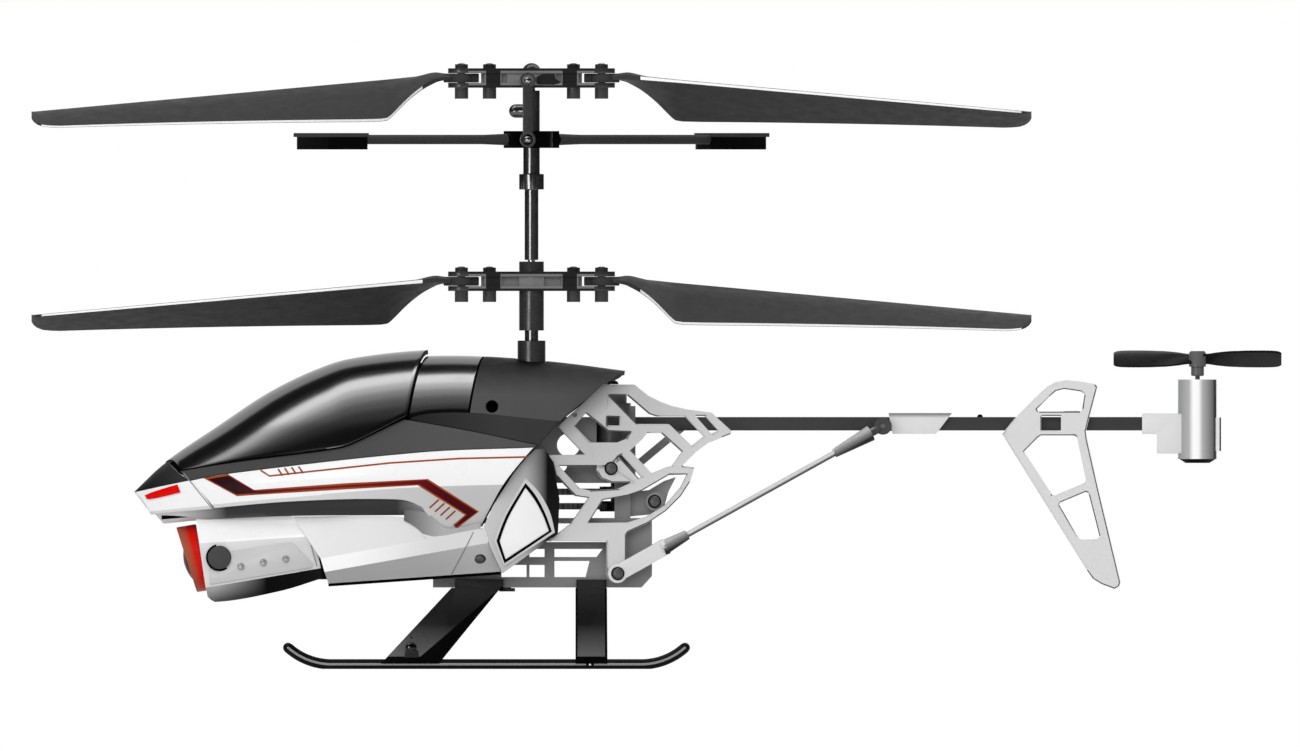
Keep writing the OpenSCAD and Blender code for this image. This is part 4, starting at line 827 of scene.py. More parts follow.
def belly_profile(u):
    """Half of the belly's section from the floor's middle to the top edge, as (x, y, z)."""
    floor_x, low_x, ridge_x, top_x = (lerp(*ends, u) for ends in BELLY_ENDS)
    half = [lookup(BELLY_HALF, x) for x in (floor_x, low_x, ridge_x, top_x)]
    floor, ridge = lookup(BELLY_FLOOR, floor_x), lookup(RIDGE, ridge_x)
    return [
        (floor_x, 0, floor),
        (floor_x, half[0] - LIP_IN - 0.4, floor),
        (floor_x, half[0] - LIP_IN, floor + LIP),
        (low_x, half[1] - SECOND_IN, lookup(SECOND_RIDGE, low_x)),
        (ridge_x, half[2] - RIDGE_IN, ridge),
        (top_x, half[3] - TOP_IN, max(curve_at(BELLY_TOP, top_x), ridge + 0.3)),
    ]


def belly_side(x, z):
    """How far out the belly's side is at a place in side view."""
    half = lookup(BELLY_HALF, x)
    ladder = [
        (lookup(BELLY_FLOOR, x) + LIP, half - LIP_IN),
        (lookup(SECOND_RIDGE, x), half - SECOND_IN),
        (lookup(RIDGE, x), half - RIDGE_IN),
        (lookup(RIDGE, x) + 8, half - TOP_IN),
    ]
    return lookup(sorted(ladder), z)


def belly_zone(p, normal):
    """The painted shadow along the belly's bottom edge, its painted shade below the second ridge and the painted
    highlight on the band under the ridge.
    """
    if p.z < lookup(BELLY_FLOOR, p.x) + LIP:
        return "gasket"
    if p.z < lookup(SECOND_RIDGE, p.x) - 0.05:
        return "belly_shade"
    return "ridge" if p.z < lookup(RIDGE, p.x) - 0.05 else None


def belt_ring(i, stations):
    """Section of the belt, which leans back at its front."""
    x = lerp(*BELT_ENDS, i / stations)
    top, low = curve_at(BAND_BOTTOM, x) + 0.4, curve_at(CHIN_BOTTOM, x) - 0.1
    edge = half_width(x) - 1.3
    lean = 2 * max(0, 1 - i / 6)
    half = [(edge - 2.8, 0), (edge - 1, 0.35), (edge - 0.4, 0.7), (edge - 0.1, 1)]
    half = [[x + lean * (1 - t), max(0.2, y), lerp(low, top, t)] for y, t in half]
    return half + [[x, -y, z] for x, y, z in reversed(half)]


def hollow_rows(stations=40, steps=8):
    """Rows of the hollow behind the belt, between the belly and the white side panel."""
    rows = []
    for i in range(stations + 1):
        x = lerp(*HOLLOW_ENDS, i / stations)
        low, high = curve_at(BELLY_TOP, x) - 0.6, curve_at(BAND_BOTTOM, x) + 0.9
        edge = half_width(x) - lerp(1.4, 0.55, min(1, (x - HOLLOW_ENDS[0]) / 9))
        heights = [lerp(low, high, k / steps) for k in range(steps + 1)]
        rows.append([[x, edge - 0.15 * (39 - z), z] for z in heights])
    return rows


class HELI_OT_belly(bpy.types.Operator):
    """Builds the ridged belly, the painted shadow along its bottom edge and the belt under the white side panels,
    whose dark band is painted shadow
    """

    bl_idname = "heli.belly"
    bl_label = "Belly and belt"

    def execute(self, context):
        stations, parts = 64, 6
        rows = []
        for i in range(stations + 1):
            corners = [Vector(p) for p in belly_profile(i / stations)]
            half = [a.lerp(b, k / parts) for a, b in zip(corners, corners[1:]) for k in range(parts)]
            half.append(corners[-1])
            rows.append([[p.x, -p.y, p.z] for p in reversed(half[1:])] + [list(p) for p in half])
        belly = shell_object(
            "belly_panel", rows, BELLY_WALL, (-50, 0, 30), 0.12 * MM, even=False,
            keep=lambda p: p.x < -46.5 or abs(p.y) > 12,
        )
        belly.data.set_sharp_from_angle(angle=math.radians(9))
        finish(belly, "silver", AIRFRAME, "silver_shell", "belly_shell")
        colour_faces(belly, belly_zone)
        belt = loft_object("belt_tray", [belt_ring(i, 44) for i in range(45)])
        machined(belt, 0.3 * MM, segments=3, angle=50, sharp=30)
        finish(belt, "belt", AIRFRAME, "charcoal_shell", "chin_tray")
        for side, sign in SIDES:
            rows = mirrored(hollow_rows(), sign)
            hollow = shell_object(f"belt_hollow_{side}", rows, 0.5, CABIN_CENTRE, 0.05 * MM)
            # the hollow carries the belt's painted shadow
            finish(hollow, "belt", AIRFRAME, "charcoal_shell")
        return {"FINISHED"}


def spline(points, steps=8):
    """A smooth polyline through points."""
    out = []
    last = len(points) - 1
    for i in range(last):
        a, b, c, d = (Vector(points[max(0, min(last, k))]) for k in (i - 1, i, i + 1, i + 2))
        for s in range(steps):
            t = s / steps
            bend, turn = 2 * a - 5 * b + 4 * c - d, 3 * b - a - 3 * c + d
            out.append(tuple(0.5 * (2 * b + (c - a) * t + bend * t * t + turn * t**3)))
    return out + [tuple(points[-1])]


def plate_object(name, outline, place, depth, sign, cutters=(), radius=0.12):
    """A plate with a side-view outline; place gives its outer face, depth goes inwards along Y."""
    outer = [place(x, z) for x, z in outline]
    points = [(x, sign * y, z) for x, y, z in outer] + [(x, sign * (y - depth), z) for x, y, z in outer]
    obj = mesh_object(name, points, prism_faces(len(outer)))
    tidy_normals(obj.data)
    return machined(obj, radius * MM, cutters, angle=45)


POD_FRONT = [(0, -89.7), (1, -92.1)]
POD_REAR = [(0, -66.7), (0.45, -67.7), (0.7, -69.4), (0.9, -71.2), (1, -73.4)]
POD_BOTTOM = [(-90.2, 14.8), (-88.2, 13.4), (-75.2, 15.6), (-66.4, 18.3)]
POD_LOW = [(-90, 16.3), (-68.6, 19.9), (-66, 20.3)]
POD_CREASE = [(-92, 25.1), (-68.6, 26.6), (-66, 26.8)]
POD_LOW_IN, POD_CREASE_IN = 0.5, 0.1
POD_LEVELS = (
    # share of the height, line, how far inside the widest place
    (0, line(POD_BOTTOM), 99),
    (0.03, line(POD_BOTTOM), 4.2),
    (0.2, line(POD_LOW), POD_LOW_IN),
    (0.74, line(POD_CREASE), POD_CREASE_IN),
    (1, lambda x: curve_at(CHIN_BOTTOM, x) + 0.15, 1.3),
)
POD_HALF = (7.8, 11.9)
POD_SIDE_FROM, POD_SIDE_LENGTH = -90.8, 22.4
PLATE_OUTLINE = [(-89.3, 16.9), (-69.4, 20.2), (-68.8, 20.6), (-68.8, 21.2), (-72.2, 24.8), (-72.9, 25.2),
                 (-73.8, 25.3), (-85.3, 23.6), (-89.6, 22.9)]
BUTTON_X, BUTTON_Z = -87.4, 22.3
# Radii round the record button: the hole in the pod, the opening in the plate, and the ring's rim and bore
BUTTON_HOLE, PLATE_HOLE, RING_RIM, RING_BORE = 2.36, 2.75, 2.72, 2.38
BULKHEAD_Z, BULKHEAD_SCALE = 24, 0.9


def pod_half_profile(u, parts=6):
    half = lerp(*POD_HALF, u)
    points = []
    for (q0, line0, in0), (q1, line1, in1) in zip(POD_LEVELS, POD_LEVELS[1:]):
        for k in range(parts):
            t = k / parts
            q = lerp(q0, q1, t)
            x = lerp(lookup(POD_FRONT, q), lookup(POD_REAR, q), u)
            y = lerp(max(0, half - in0), half - in1, t)
            points.append([x, y, lerp(line0(x), line1(x), t)])
    x = lerp(POD_FRONT[-1][1], POD_REAR[-1][1], u)
    return points + [[x, half - POD_LEVELS[-1][2], POD_LEVELS[-1][1](x)], [x, 0, POD_LEVELS[-1][1](x)]]


def pod_side(x, z):
    """How far out the pod's side facet is."""
    u = (x - POD_SIDE_FROM) / POD_SIDE_LENGTH
    t = (z - curve_at(POD_LOW, x)) / (curve_at(POD_CREASE, x) - curve_at(POD_LOW, x))
    return lerp(*POD_HALF, u) - lerp(POD_LOW_IN, POD_CREASE_IN, t)


def pod_zone(p, normal):
    """The painted shade under the pod and its grey sides below the crease."""
    if p.z < curve_at(POD_LOW, p.x) + 0.02:
        return "pod_under"
    return "belly_grey" if p.z < curve_at(POD_CREASE, p.x) + 0.02 else None


def button_cutter(radius, steps=32):
    ends = [(BUTTON_X, y, BUTTON_Z) for y in (-4, -14)]
    return tube_object("button_cutter", *ends, radius, steps)


class HELI_OT_pod(bpy.types.Operator):
    """Builds the camera pod with its raised side plates"""

    bl_idname = "heli.pod"
    bl_label = "Camera pod"

    def execute(self, context):
        rings = []
        for i in range(33):
            half = pod_half_profile(i / 32)
            rings.append(half + [[x, -y, z] for x, y, z in reversed(half[1:-1])])
        pod = loft_object("pod_body", rings)
        machined(pod, 0.3 * MM, [button_cutter(BUTTON_HOLE)], segments=3, angle=50, sharp=10)
        finish(pod, "white", AIRFRAME, "white_shell", "camera_pod")
        colour_faces(pod, pod_zone)
        shrunk = [(x, y * BULKHEAD_SCALE, BULKHEAD_Z + (z - BULKHEAD_Z) * BULKHEAD_SCALE) for x, y, z in rings[28]]
        plug = loft_object("pod_bulkhead", [[(x + step, y, z) for x, y, z in shrunk] for step in (0, 2.6, 5.2)])
        settle(plug)
        finish(plug, "gasket", AIRFRAME, "charcoal_shell")
        for side, sign in SIDES:
            cutters = [button_cutter(PLATE_HOLE)] if side == "left" else []
            plate = plate_object(
                f"pod_plate_{side}", PLATE_OUTLINE, lambda x, z: (x, pod_side(x, z) + 0.22, z), 0.6, sign,
                cutters, 0.16,
            )
            finish(plate, "panel", AIRFRAME, "white_shell")
        face = pod_side(BUTTON_X, BUTTON_Z) + 0.12
        rim = [(BUTTON_X + RING_RIM * math.cos(a), BUTTON_Z + RING_RIM * math.sin(a)) for a in round_angles(48)]
        bore = [button_cutter(RING_BORE, 48)]
        ring = plate_object("button_ring", rim, lambda x, z: (x, face, z), 0.5, -1, bore, 0.05)
        finish(ring, "gasket", AIRFRAME, "charcoal_shell")
        return {"FINISHED"}


TOE = math.radians(10)
FLANK_X, FLANK_Y = -34.8, 18.9
FLANK_OUTLINE = (
    spline([(-24.2, 44), (-27.4, 40.8), (-30.1, 36.8), (-32.6, 32.8), (-34.6, 28.4)])
    + [(-33.3, 24.4), (-30.8, 19.1), (-19.7, 27.1), (-19.4, 34), (-20.7, 41.4), (-22.3, 44)]
)
TRIM_OUTLINE = (
    spline([(-26.2, 38.2), (-23.6, 35.5), (-21.4, 31.6), (-20.3, 27.3)])
    + [(-30.5, 20.6)]
    + spline([(-32.5, 25.7), (-30.4, 31), (-26.2, 38.2)])[:-1]
)
GASKET_OUTLINE = (
    spline([(-26.2, 37.2), (-24.1, 34.6), (-22.3, 31.2), (-20.9, 27.5)])
    + [(-30.4, 21.1)]
    + spline([(-32, 25.6), (-30, 30.8), (-26.2, 37.2)])[:-1]
)
PANE_OUTLINE = (
    spline([(-26.2, 36.3), (-24.4, 33.9), (-22.7, 30.8), (-21.5, 27.6)])
    + [(-30.2, 21.9)]
    + spline([(-31.4, 25.6), (-29.6, 30.4), (-26.2, 36.3)])[:-1]
)


def flank_place(out):
    """Places at a distance out from the rear flank, which toes in towards the tail."""
    return lambda x, z: (x, FLANK_Y - (x - FLANK_X) * math.tan(TOE) + out, z)


class HELI_OT_flanks(bpy.types.Operator):
    """Builds the rear flanks with their framed panes"""

    bl_idname = "heli.flanks"
    bl_label = "Rear flanks"

    def execute(self, context):
        for side, sign in SIDES:
            plate = plate_object(f"flank_plate_{side}", FLANK_OUTLINE, flank_place(0), 1, sign)
            finish(plate, "flank", AIRFRAME, "silver_shell", f"rear_flank_{side}")
            window = plate_object("window", GASKET_OUTLINE, flank_place(3), 6, sign, radius=0.01)
            trim = plate_object(f"pane_trim_{side}", TRIM_OUTLINE, flank_place(0.5), 0.9, sign, [window], 0.2)
            finish(trim, "trim", AIRFRAME, "silver_shell", f"rear_flank_{side}")
            window = plate_object("window", PANE_OUTLINE, flank_place(3), 6, sign, radius=0.01)
            gasket = plate_object(
                f"pane_gasket_{side}", GASKET_OUTLINE, flank_place(0.42), 0.8, sign, [window], 0.1
            )
            finish(gasket, "gasket", AIRFRAME, "silver_shell")
            pane = plate_object(f"pane_{side}", PANE_OUTLINE, flank_place(0.3), 0.6, sign, radius=0.08)
            finish(pane, "pane", AIRFRAME, "silver_shell")
        return {"FINISHED"}


# Painted lines and seams in side view: the outlines of the wide stripe, and the run of each line
STRIPE_TOP = [(-90.64, 38.2), (-85.76, 39.0), (-80.5, 35.82), (-62.7, 37.12), (-45.7, 38), (-35.5, 31.5)]
STRIPE_LOW = [(-90.64, 38.2), (-83.9, 34.56), (-79, 34.9), (-62.7, 35.9), (-47.8, 36.75), (-38.3, 30.8)]
STRIPE_BARB = [[(-35.5, 31.5), (-39.9, 28.1)], [(-38.3, 30.8), (-40.7, 28.8)]]
THIN_LINES = [[(-79.2, 39.75), (-77.4, 38.6), (-69.2, 39.5), (-53.4, 41.2), (-39.4, 42.1), (-25.9, 42.4)]]
THIN_LINES += [
    [(x, z), (x + 0.95, z - 1.35)] for x, z in ((-75.7, 40.0), (-74.4, 40.2), (-73, 40.35), (-71.6, 40.5))
]
THIN_LINES += [[(-43.5 + 1.1 * k, 33.9 - 0.75 * k), (-45.4 + 1.1 * k, 32.2 - 0.75 * k)] for k in range(4)]
REAR_EDGE = spline([(-24.5, 44.2), (-27.6, 40.6), (-30.5, 36.8), (-32.9, 32.6), (-35, 28.5)])
NOSE_SEAM = [(-94.6, 39.2), (-91, 34.7), (-88.7, 31.9)]
BELLY_SEAM = [(-36.6, 27.4), (-38.4, 23.8), (-41, 18.9)]
POD_SEAM = spline([(-74.6, 30.3), (-71.4, 28.9), (-69.7, 26.9), (-69, 24.4), (-67.9, 20.5)])


def ribbon_rows(top, low, inset=0.0, parts=40):
    """Rows of a painted band between two polylines, drawn in by inset at both edges."""
    rows = []
    for (t0, t1), (l0, l1) in zip(zip(top, top[1:]), zip(low, low[1:])):
        for i in range(1 if rows else 0, parts + 1):
            a, b = (Vector(p).lerp(Vector(q), i / parts) for p, q in ((l0, l1), (t0, t1)))
            width = (b - a).length
            if width > 1e-6:
                step = (b - a) / width * min(inset, width / 2)
                a, b = a + step, b - step
            rows.append([a.lerp(b, k / 4) for k in range(5)])
    return rows


def line_rails(points, width):
    """The two edges of a line of even width."""
    top, low = [], []
    for i, p in enumerate(points):
        a, b = Vector(points[max(0, i - 1)]), Vector(points[min(len(points) - 1, i + 1)])
        across = Vector((a.y - b.y, b.x - a.x)).normalized() * width / 2
        top.append(Vector(p) + across)
        low.append(Vector(p) - across)
    return top, low


def drawn_line(points, width, parts):
    return ribbon_rows(*line_rails(points, width), parts=parts)


def belly_surface(x, z, lift):
    return [x, belly_side(x, z) + lift, z]


def pod_surface(x, z, lift):
    crease = curve_at(POD_CREASE, x)
    over = max(0, z - crease) / (curve_at(CHIN_BOTTOM, x) - crease)
    return [x, pod_side(x, min(z, crease)) - 1.2 * over + lift, z]


WIDE_STRIPE = ((STRIPE_TOP, STRIPE_LOW), STRIPE_BARB)
PAINTWORK = (
    # piece, rows of its bands, height over the surface, finish, surface, slot
    ("stripe_edge", [ribbon_rows(*rails) for rails in WIDE_STRIPE], 0.03, "edge", side_point, "white_shell"),
    ("stripe", [ribbon_rows(*rails, inset=0.4) for rails in WIDE_STRIPE], 0.05, "stripe", side_point,
     "white_shell"),
    ("thin_lines", [drawn_line(p, 0.34, 24) for p in THIN_LINES], 0.04, "edge", side_point, "white_shell"),
    ("edge_line", [drawn_line(REAR_EDGE, 0.3, 4)], 0.03, "gasket", side_point, "white_shell"),
    ("nose_seam", [drawn_line(NOSE_SEAM, 0.22, 20)], 0.02, "seam", side_point, "white_shell"),
    ("belly_seam", [drawn_line(BELLY_SEAM, 0.22, 20)], 0.06, "seam", belly_surface, "silver_shell"),
    ("pod_seam", [drawn_line(POD_SEAM, 0.2, 3)], 0.06, "seam", pod_surface, "white_shell"),
)


class HELI_OT_stripes(bpy.types.Operator):
    """Paints the stripes, seams and dark edge lines on the side panels, belly and pod"""

    bl_idname = "heli.stripes"
    bl_label = "Stripes and seams"

    def execute(self, context):
        for side, sign in SIDES:
            for name, bands, lift, look, surface, slot in PAINTWORK:
                coats = []
                for number, rows in enumerate(bands):
                    placed = [[surface(p.x, p.y, lift) for p in row] for row in rows]
                    coat = sheet_object(f"{name}_{side}_{number}", mirrored(placed, sign))
                    face_away_from(coat, CABIN_CENTRE)
                    coats.append(coat)
                paint = joined(f"{name}_{side}", coats)
                paint.data.shade_smooth()
                finish(paint, look, AIRFRAME, slot)
        return {"FINISHED"}


def lathe_object(name, profile, place, steps=48):
    """A turned solid: (radius, height) pairs round a vertical axis at place."""
    x, y = place[0], place[1]
    angles = round_angles(steps)
    return loft_object(name, [[(x + r * math.cos(a), y + r * math.sin(a), z) for a in angles] for r, z in profile])


UPPER_Z, LOWER_Z = 118.2, 77.55
HINGE_X = 14
HINGE_BORE = 0.85
TANG_RADIUS, TANG_HALF = 2.5, 0.9
# Lines along a blade: each point is a distance from the mast and a value there
BLADE_CHORD = [(16, 4.2), (18, 5.6), (21.5, 9.6), (25, 14.4), (26.6, 16.6), (27.8, 18), (28.7, 18.5),
               (30.2, 18.9), (34, 18.7), (95, 12.6), (97.5, 11.4), (98.8, 9.2), (99.6, 6.6), (100, 3.6)]
BLADE_PITCH = [(16, 0), (28.7, 24), (100, 14)]
BLADE_EDGE = [(16, -2.1), (20, -3.2), (28.7, -4.4), (95, -4), (97.5, -2.9), (98.8, -0.9), (99.6, 1.6), (100, 4.2)]
BLADE_THICK = [(16, 1.1), (17, 1.2), (20, 1.8), (28.7, 1.4), (100, 0.9)]
BLADE_ROOT = 16
BLADE_DROOP = math.tan(math.radians(5.1))
# Stretch of each blade, from the mast, whose edges carry the painted highlight
EDGE_HIGHLIGHT_FROM, EDGE_HIGHLIGHT_TO = 22, 98
# Stations of a blade, closer together at its root and its tip
BLADE_STATIONS = [16.2 + 14 * k / 20 for k in range(20)] + [30.2 + 67.5 * k / 40 for k in range(40)]
BLADE_STATIONS += [97.7 + 2.3 * k / 8 for k in range(9)]
WING_STEPS = 14
# Height of a wing's upper and lower side along its chord, as shares of its thickness
WING_TOP = [(0, 0.28), (0.3, 0.7), (0.7, 0.55), (1, 0.25)]
WING_LOW = [(0, -0.28), (0.3, -0.32), (0.7, -0.28), (1, -0.25)]


def wing_ring(r, chord, thick, pitch, edge_y, edge_z, steps=WING_STEPS):
    """Section of a blade at radius r: chord from its leading edge, turned nose-up by pitch."""
    cos, sin = math.cos(math.radians(pitch)), math.sin(math.radians(pitch))
    shares = [(1 - math.cos(math.pi * k / steps)) / 2 for k in range(steps + 1)]
    shape = [(s, curve_at(WING_TOP, s)) for s in reversed(shares)] + [(0, 0.2), (0, -0.2)]
    shape += [(s, curve_at(WING_LOW, s)) for s in shares] + [(1, -0.18), (1, 0.18)]
    places = [(s * chord, t * thick) for s, t in shape]
    return [(r, edge_y + y * cos + z * sin, edge_z - y * sin + z * cos) for y, z in places]


def blade_wing(name):
    """The wing of a blade, with the faces of its two edges marked for a painted highlight."""
    rings = []
    for r in BLADE_STATIONS:
        shape = [lookup(values, r) for values in (BLADE_CHORD, BLADE_THICK, BLADE_PITCH, BLADE_EDGE)]
        out = r - BLADE_ROOT
        rings.append(wing_ring(r, *shape, 0.5 * min(1, out / 3) - BLADE_DROOP * out))
    wing = loft_object(name, rings)
    columns = len(rings[0])
    edges = ({columns - 1, columns - 2}, {WING_STEPS + 1, WING_STEPS + 2})
    marks = wing.data.attributes.new("edge_line", "BOOLEAN", "FACE")
    for face in wing.data.polygons:
        across = {v % columns for v in face.vertices}
        highlighted = EDGE_HIGHLIGHT_FROM < abs(face.center.x) / MM < EDGE_HIGHLIGHT_TO
        marks.data[face.index].value = len(face.vertices) == 4 and highlighted and across in edges
    return wing


def blade_tang(name):
    """The flat root of a blade, bored for the hinge."""
    turns = [math.radians(40 + 111 * k / 16) for k in range(17)]
    half = [(HINGE_X + TANG_RADIUS * math.cos(a), TANG_RADIUS * math.sin(a)) for a in turns]
    half = [(17.6, 1.6)] + half + [(10.5, 1.2)]
    outline = half + [(x, -y) for x, y in reversed(half)]
    points = [(x, y, z) for z in (-TANG_HALF, TANG_HALF) for x, y in outline]
    tang = mesh_object(name, points, prism_faces(len(outline)))
    tidy_normals(tang.data)
    bore = tube_object("bore", (HINGE_X, 0, -3), (HINGE_X, 0, 3), HINGE_BORE)
    return machined(tang, 0.2 * MM, [bore], angle=50)


class HELI_OT_blades(bpy.types.Operator):
    """Builds the four main blades, each on its own hinge"""

    bl_idname = "heli.blades"
    bl_label = "Main blades"

    def execute(self, context):
        for level, height, flip in (("upper", UPPER_Z, 1), ("lower", LOWER_Z, -1)):
            for end, turn in (("rear", 0), ("front", math.pi)):
                name = f"blade_{level}_{end}"
                blade = joined(name, [blade_wing(name), blade_tang(f"{name}_tang")])
                blade.data.transform(
                    Matrix.Translation((MAST_X * MM, 0, height * MM))
                    @ Matrix.Rotation(turn, 4, "Z")
                    @ Matrix.Diagonal((1, flip, 1, 1))
                )
                tidy_normals(blade.data)
                blade.data.shade_smooth()
                blade.data.set_sharp_from_angle(angle=math.radians(40))
                finish(blade, "blade", f"{level}_{end}_blade", "rotor_plastic", f"{level}_blade_{end}")
                blade.data.materials.append(FINISHES["blade_edge"])
                blade.visible_glossy = False
                # faces on the blades' edges take the painted highlight
                highlighted = [int(mark.value) for mark in blade.data.attributes["edge_line"].data]
                blade.data.attributes.remove(blade.data.attributes["edge_line"])
                for face, index in zip(blade.data.polygons, highlighted):
                    face.material_index = index
        return {"FINISHED"}


# The same lines along the tail rotor's wings
TAIL_CHORD = [(0, 3), (2, 3.2), (4, 4.6), (8, 7), (12, 7.7), (15, 7.7), (16.2, 7.1), (16.8, 5.6)]
TAIL_PITCH = [(0, 36), (8, 24), (16.8, 22)]
TAIL_REACH, TAIL_THICK, TAIL_Z = 16.8, 0.8, 62
TAIL_SHAFT = [(0.47, 51), (0.47, 61)]
TAIL_HUB = [(1.1, 58.6), (1.3, 58.8), (1.3, 60.4), (1.7, 60.5), (1.7, 63.2), (1.4, 63.6), (0.5, 63.6)]


class HELI_OT_tail_rotor(bpy.types.Operator):
    """Builds the tail rotor with its hub and shaft"""

    bl_idname = "heli.tail_rotor"
    bl_label = "Tail rotor"

    def execute(self, context):
        low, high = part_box("tail_rotor")
        centre = (low + high) / 2 / MM
        reach = (high.x - low.x) / MM / 2
        parts = [lathe_object("shaft", TAIL_SHAFT, centre), lathe_object("hub", TAIL_HUB, centre)]
        for number, turn in enumerate((0, math.pi)):
            rings = []
            for k in range(31):
                r = k / 30 * reach
                s = r * TAIL_REACH / reach
                chord, pitch = curve_at(TAIL_CHORD, s), lookup(TAIL_PITCH, s)
                half, slope = chord / 2, math.radians(pitch)
                edge = -half * math.cos(slope), half * math.sin(slope)
                rings.append(wing_ring(r, chord, TAIL_THICK, pitch, *edge, 10))
            wing = loft_object(f"wing_{number}", rings)
            place = Matrix.Translation((centre.x * MM, centre.y * MM, TAIL_Z * MM))
            wing.data.transform(place @ Matrix.Rotation(turn, 4, "Z"))
            parts.append(wing)
        rotor = joined("tail_prop", parts)
        rotor.data.shade_smooth()
        rotor.data.set_sharp_from_angle(angle=math.radians(40))
        finish(rotor, "propeller", "tail_rotor", "rotor_plastic", "tail_rotor")

        def boss_zone(p, normal):
            return "boss" if math.hypot(p.x - centre.x, p.y - centre.y) < 1.75 else None

        paint_zones(rotor, boss_zone, [])
        return {"FINISHED"}


# Solids shown with rounded edges, by node: finish, slot and radius in millimetres
ROUNDED = {}
for pattern, *settings in (
    # a star stands for the left and the right one
    ("side_frame_*", "frames", "silver_shell", 0.28),
    ("tail_fin", "fin", "silver_shell", 0.26),
    ("boom_clamp", "clamp", "white_shell", 0.2),
    ("tail_motor_mount", "mount", "white_shell", 0.2),
    ("stay_clevis_*", "mount", "white_shell", 0.15),
    ("stay_rod_*", "rod", "aluminium", 0.08),
    ("front_leg_*", "leg", "black_plastic", 0.4),
    ("rear_leg_*", "leg", "black_plastic", 0.4),
    ("skid_*", "skid", "black_plastic", 0),
    ("chassis_tray", "grey", "frame_grey", 0.15),
    ("gear_deck", "grey", "frame_grey", 0.15),
    ("gearbox_frame", "grey", "frame_grey", 0.15),
    ("mast_housing", "hub", "charcoal_shell", 0.15),
    ("motors", "motor", "black_plastic", 0.15),
    ("charge_jack", "hub", "black_plastic", 0.15),
    ("power_switch", "hub", "black_plastic", 0.1),
    ("tail_boom", "boom", "rotor_plastic", 0.2),
    ("tail_motor", "alloy", "aluminium", 0.15),
    ("rotor_head", "hub", "black_plastic", 0.2),
    ("lower_hub", "hub", "black_plastic", 0.2),
    ("flybar", "blade", "rotor_plastic", 0.2),
    ("rotor_link", "hub", "black_plastic", 0.12),
    ("outer_shaft", "mast", "rotor_plastic", 0.06),
    ("mast_sleeve", "mast", "rotor_plastic", 0.12),
    ("lower_gear", "gear", "rotor_plastic", 0.06),
    ("upper_gear", "gear", "rotor_plastic", 0.06),
    ("pinion_*", "pinion", "brass", 0.04),
    ("inner_shaft", "steel", "steel", 0.06),
    ("camera_bezel", "bezel", "red_lamp", 0.25),
    ("camera_lens", "lens", "lens", 0),
    ("record_button", "button", "charcoal_shell", 0.2),
    ("battery_pack", "foil", "battery_foil", 0.6),
    ("circuit_board", "board", "circuit", 0.1),
):
    for side, _ in SIDES if "*" in pattern else SIDES[:1]:
        ROUNDED[pattern.replace("*", side)] = settings

# Solids that the canopy does not mirror
NO_REFLECTION = ("flybar", "rotor_head", "lower_hub")
LINK_X, LINK_Y = MAST_X - 0.76, -5.2
UPPER_BALL, LOWER_BALL = UPPER_Z - 0.5, 105.9
# The grips, measured out from the mast: the dark block between the arms, their end and their dark rims
GRIP_BLOCK, GRIP_REACH, GRIP_LINE = (6.2, 9.1), 12.6, 1.45
CLIP_X = 112.6
REAR_LEG_FACE = (-15.8, -10.3)
LEG_FOOT = 2.5
SKID_PIN_X, PIN_HALF, PIN_GAP = -13.3, 0.2, 0.8


def near_ball(p, height):
    return (p - Vector((LINK_X, LINK_Y, height))).length < 0.95


def grip_zone(p, normal):
    """The bright ball of a blade grip's link, its paler middle and arms, and its dark blocks and edges."""
    if near_ball(p, UPPER_BALL):
        return "steel"
    reach = abs(p.x - MAST_X)
    drop = min(abs(p.z - UPPER_Z), abs(p.z - LOWER_Z))
    if abs(normal.y) < 0.8 or reach > GRIP_REACH or drop > 2.6:
        return None
    return "grip" if drop < GRIP_LINE and not GRIP_BLOCK[0] < reach < GRIP_BLOCK[1] else "block"


def flybar_zone(p, normal):
    """The bright ball of the flybar's link, its black middle and the black underside of its weights."""
    if near_ball(p, LOWER_BALL):
        return "steel"
    reach = math.hypot(p.x - MAST_X, p.y)
    if reach < 6.5:
        return "gasket"
    return "gasket" if reach > 42 and p.z < 106.4 and abs(normal.z) < 0.8 else None


def barrel_zone(p, normal):
    """The black cap under the tail motor, the pale clip behind it, and the painted shade along the clip's rear
    edge.
    """
    return "gasket" if p.z < 42.05 or p.x > CLIP_X else "white" if p.x > 111.95 else None


def stay_zone(p, normal):
    """The shaded sockets of a stay and its dark eye."""
    return "outline" if p.x > 43.3 else "socket" if p.x > 35.6 or 1.6 < p.x < 6.5 else None


LEG_FOLD = (Vector((-30.4, 0, 16.9)), Vector((0.65, 0, -0.759)))


def front_leg_zone(p, normal):
    """The black facet behind the fold of a front leg."""
    return "gasket" if (p - LEG_FOLD[0]).dot(LEG_FOLD[1]) > 0 or p.z < LEG_FOOT else None


def rear_leg_zone(p, normal):
    """The black borders of a rear leg."""
    return None if REAR_LEG_FACE[0] < p.x < REAR_LEG_FACE[1] and p.z > LEG_FOOT else "gasket"


def skid_zone(p, normal):
    """The painted highlight along the side of a skid, broken at the pin of the rear leg, whose glint is painted
    white.
    """
    reach = abs(p.x - SKID_PIN_X)
    if abs(normal.y) < 0.985 or PIN_HALF < reach < PIN_GAP:
        return None
    return "white" if reach < PIN_HALF else "skid_line"


def level(z):
    return (0, 0, z), (0, 0, 1)


def upright(x):
    return (x, 0, 0), (1, 0, 0)


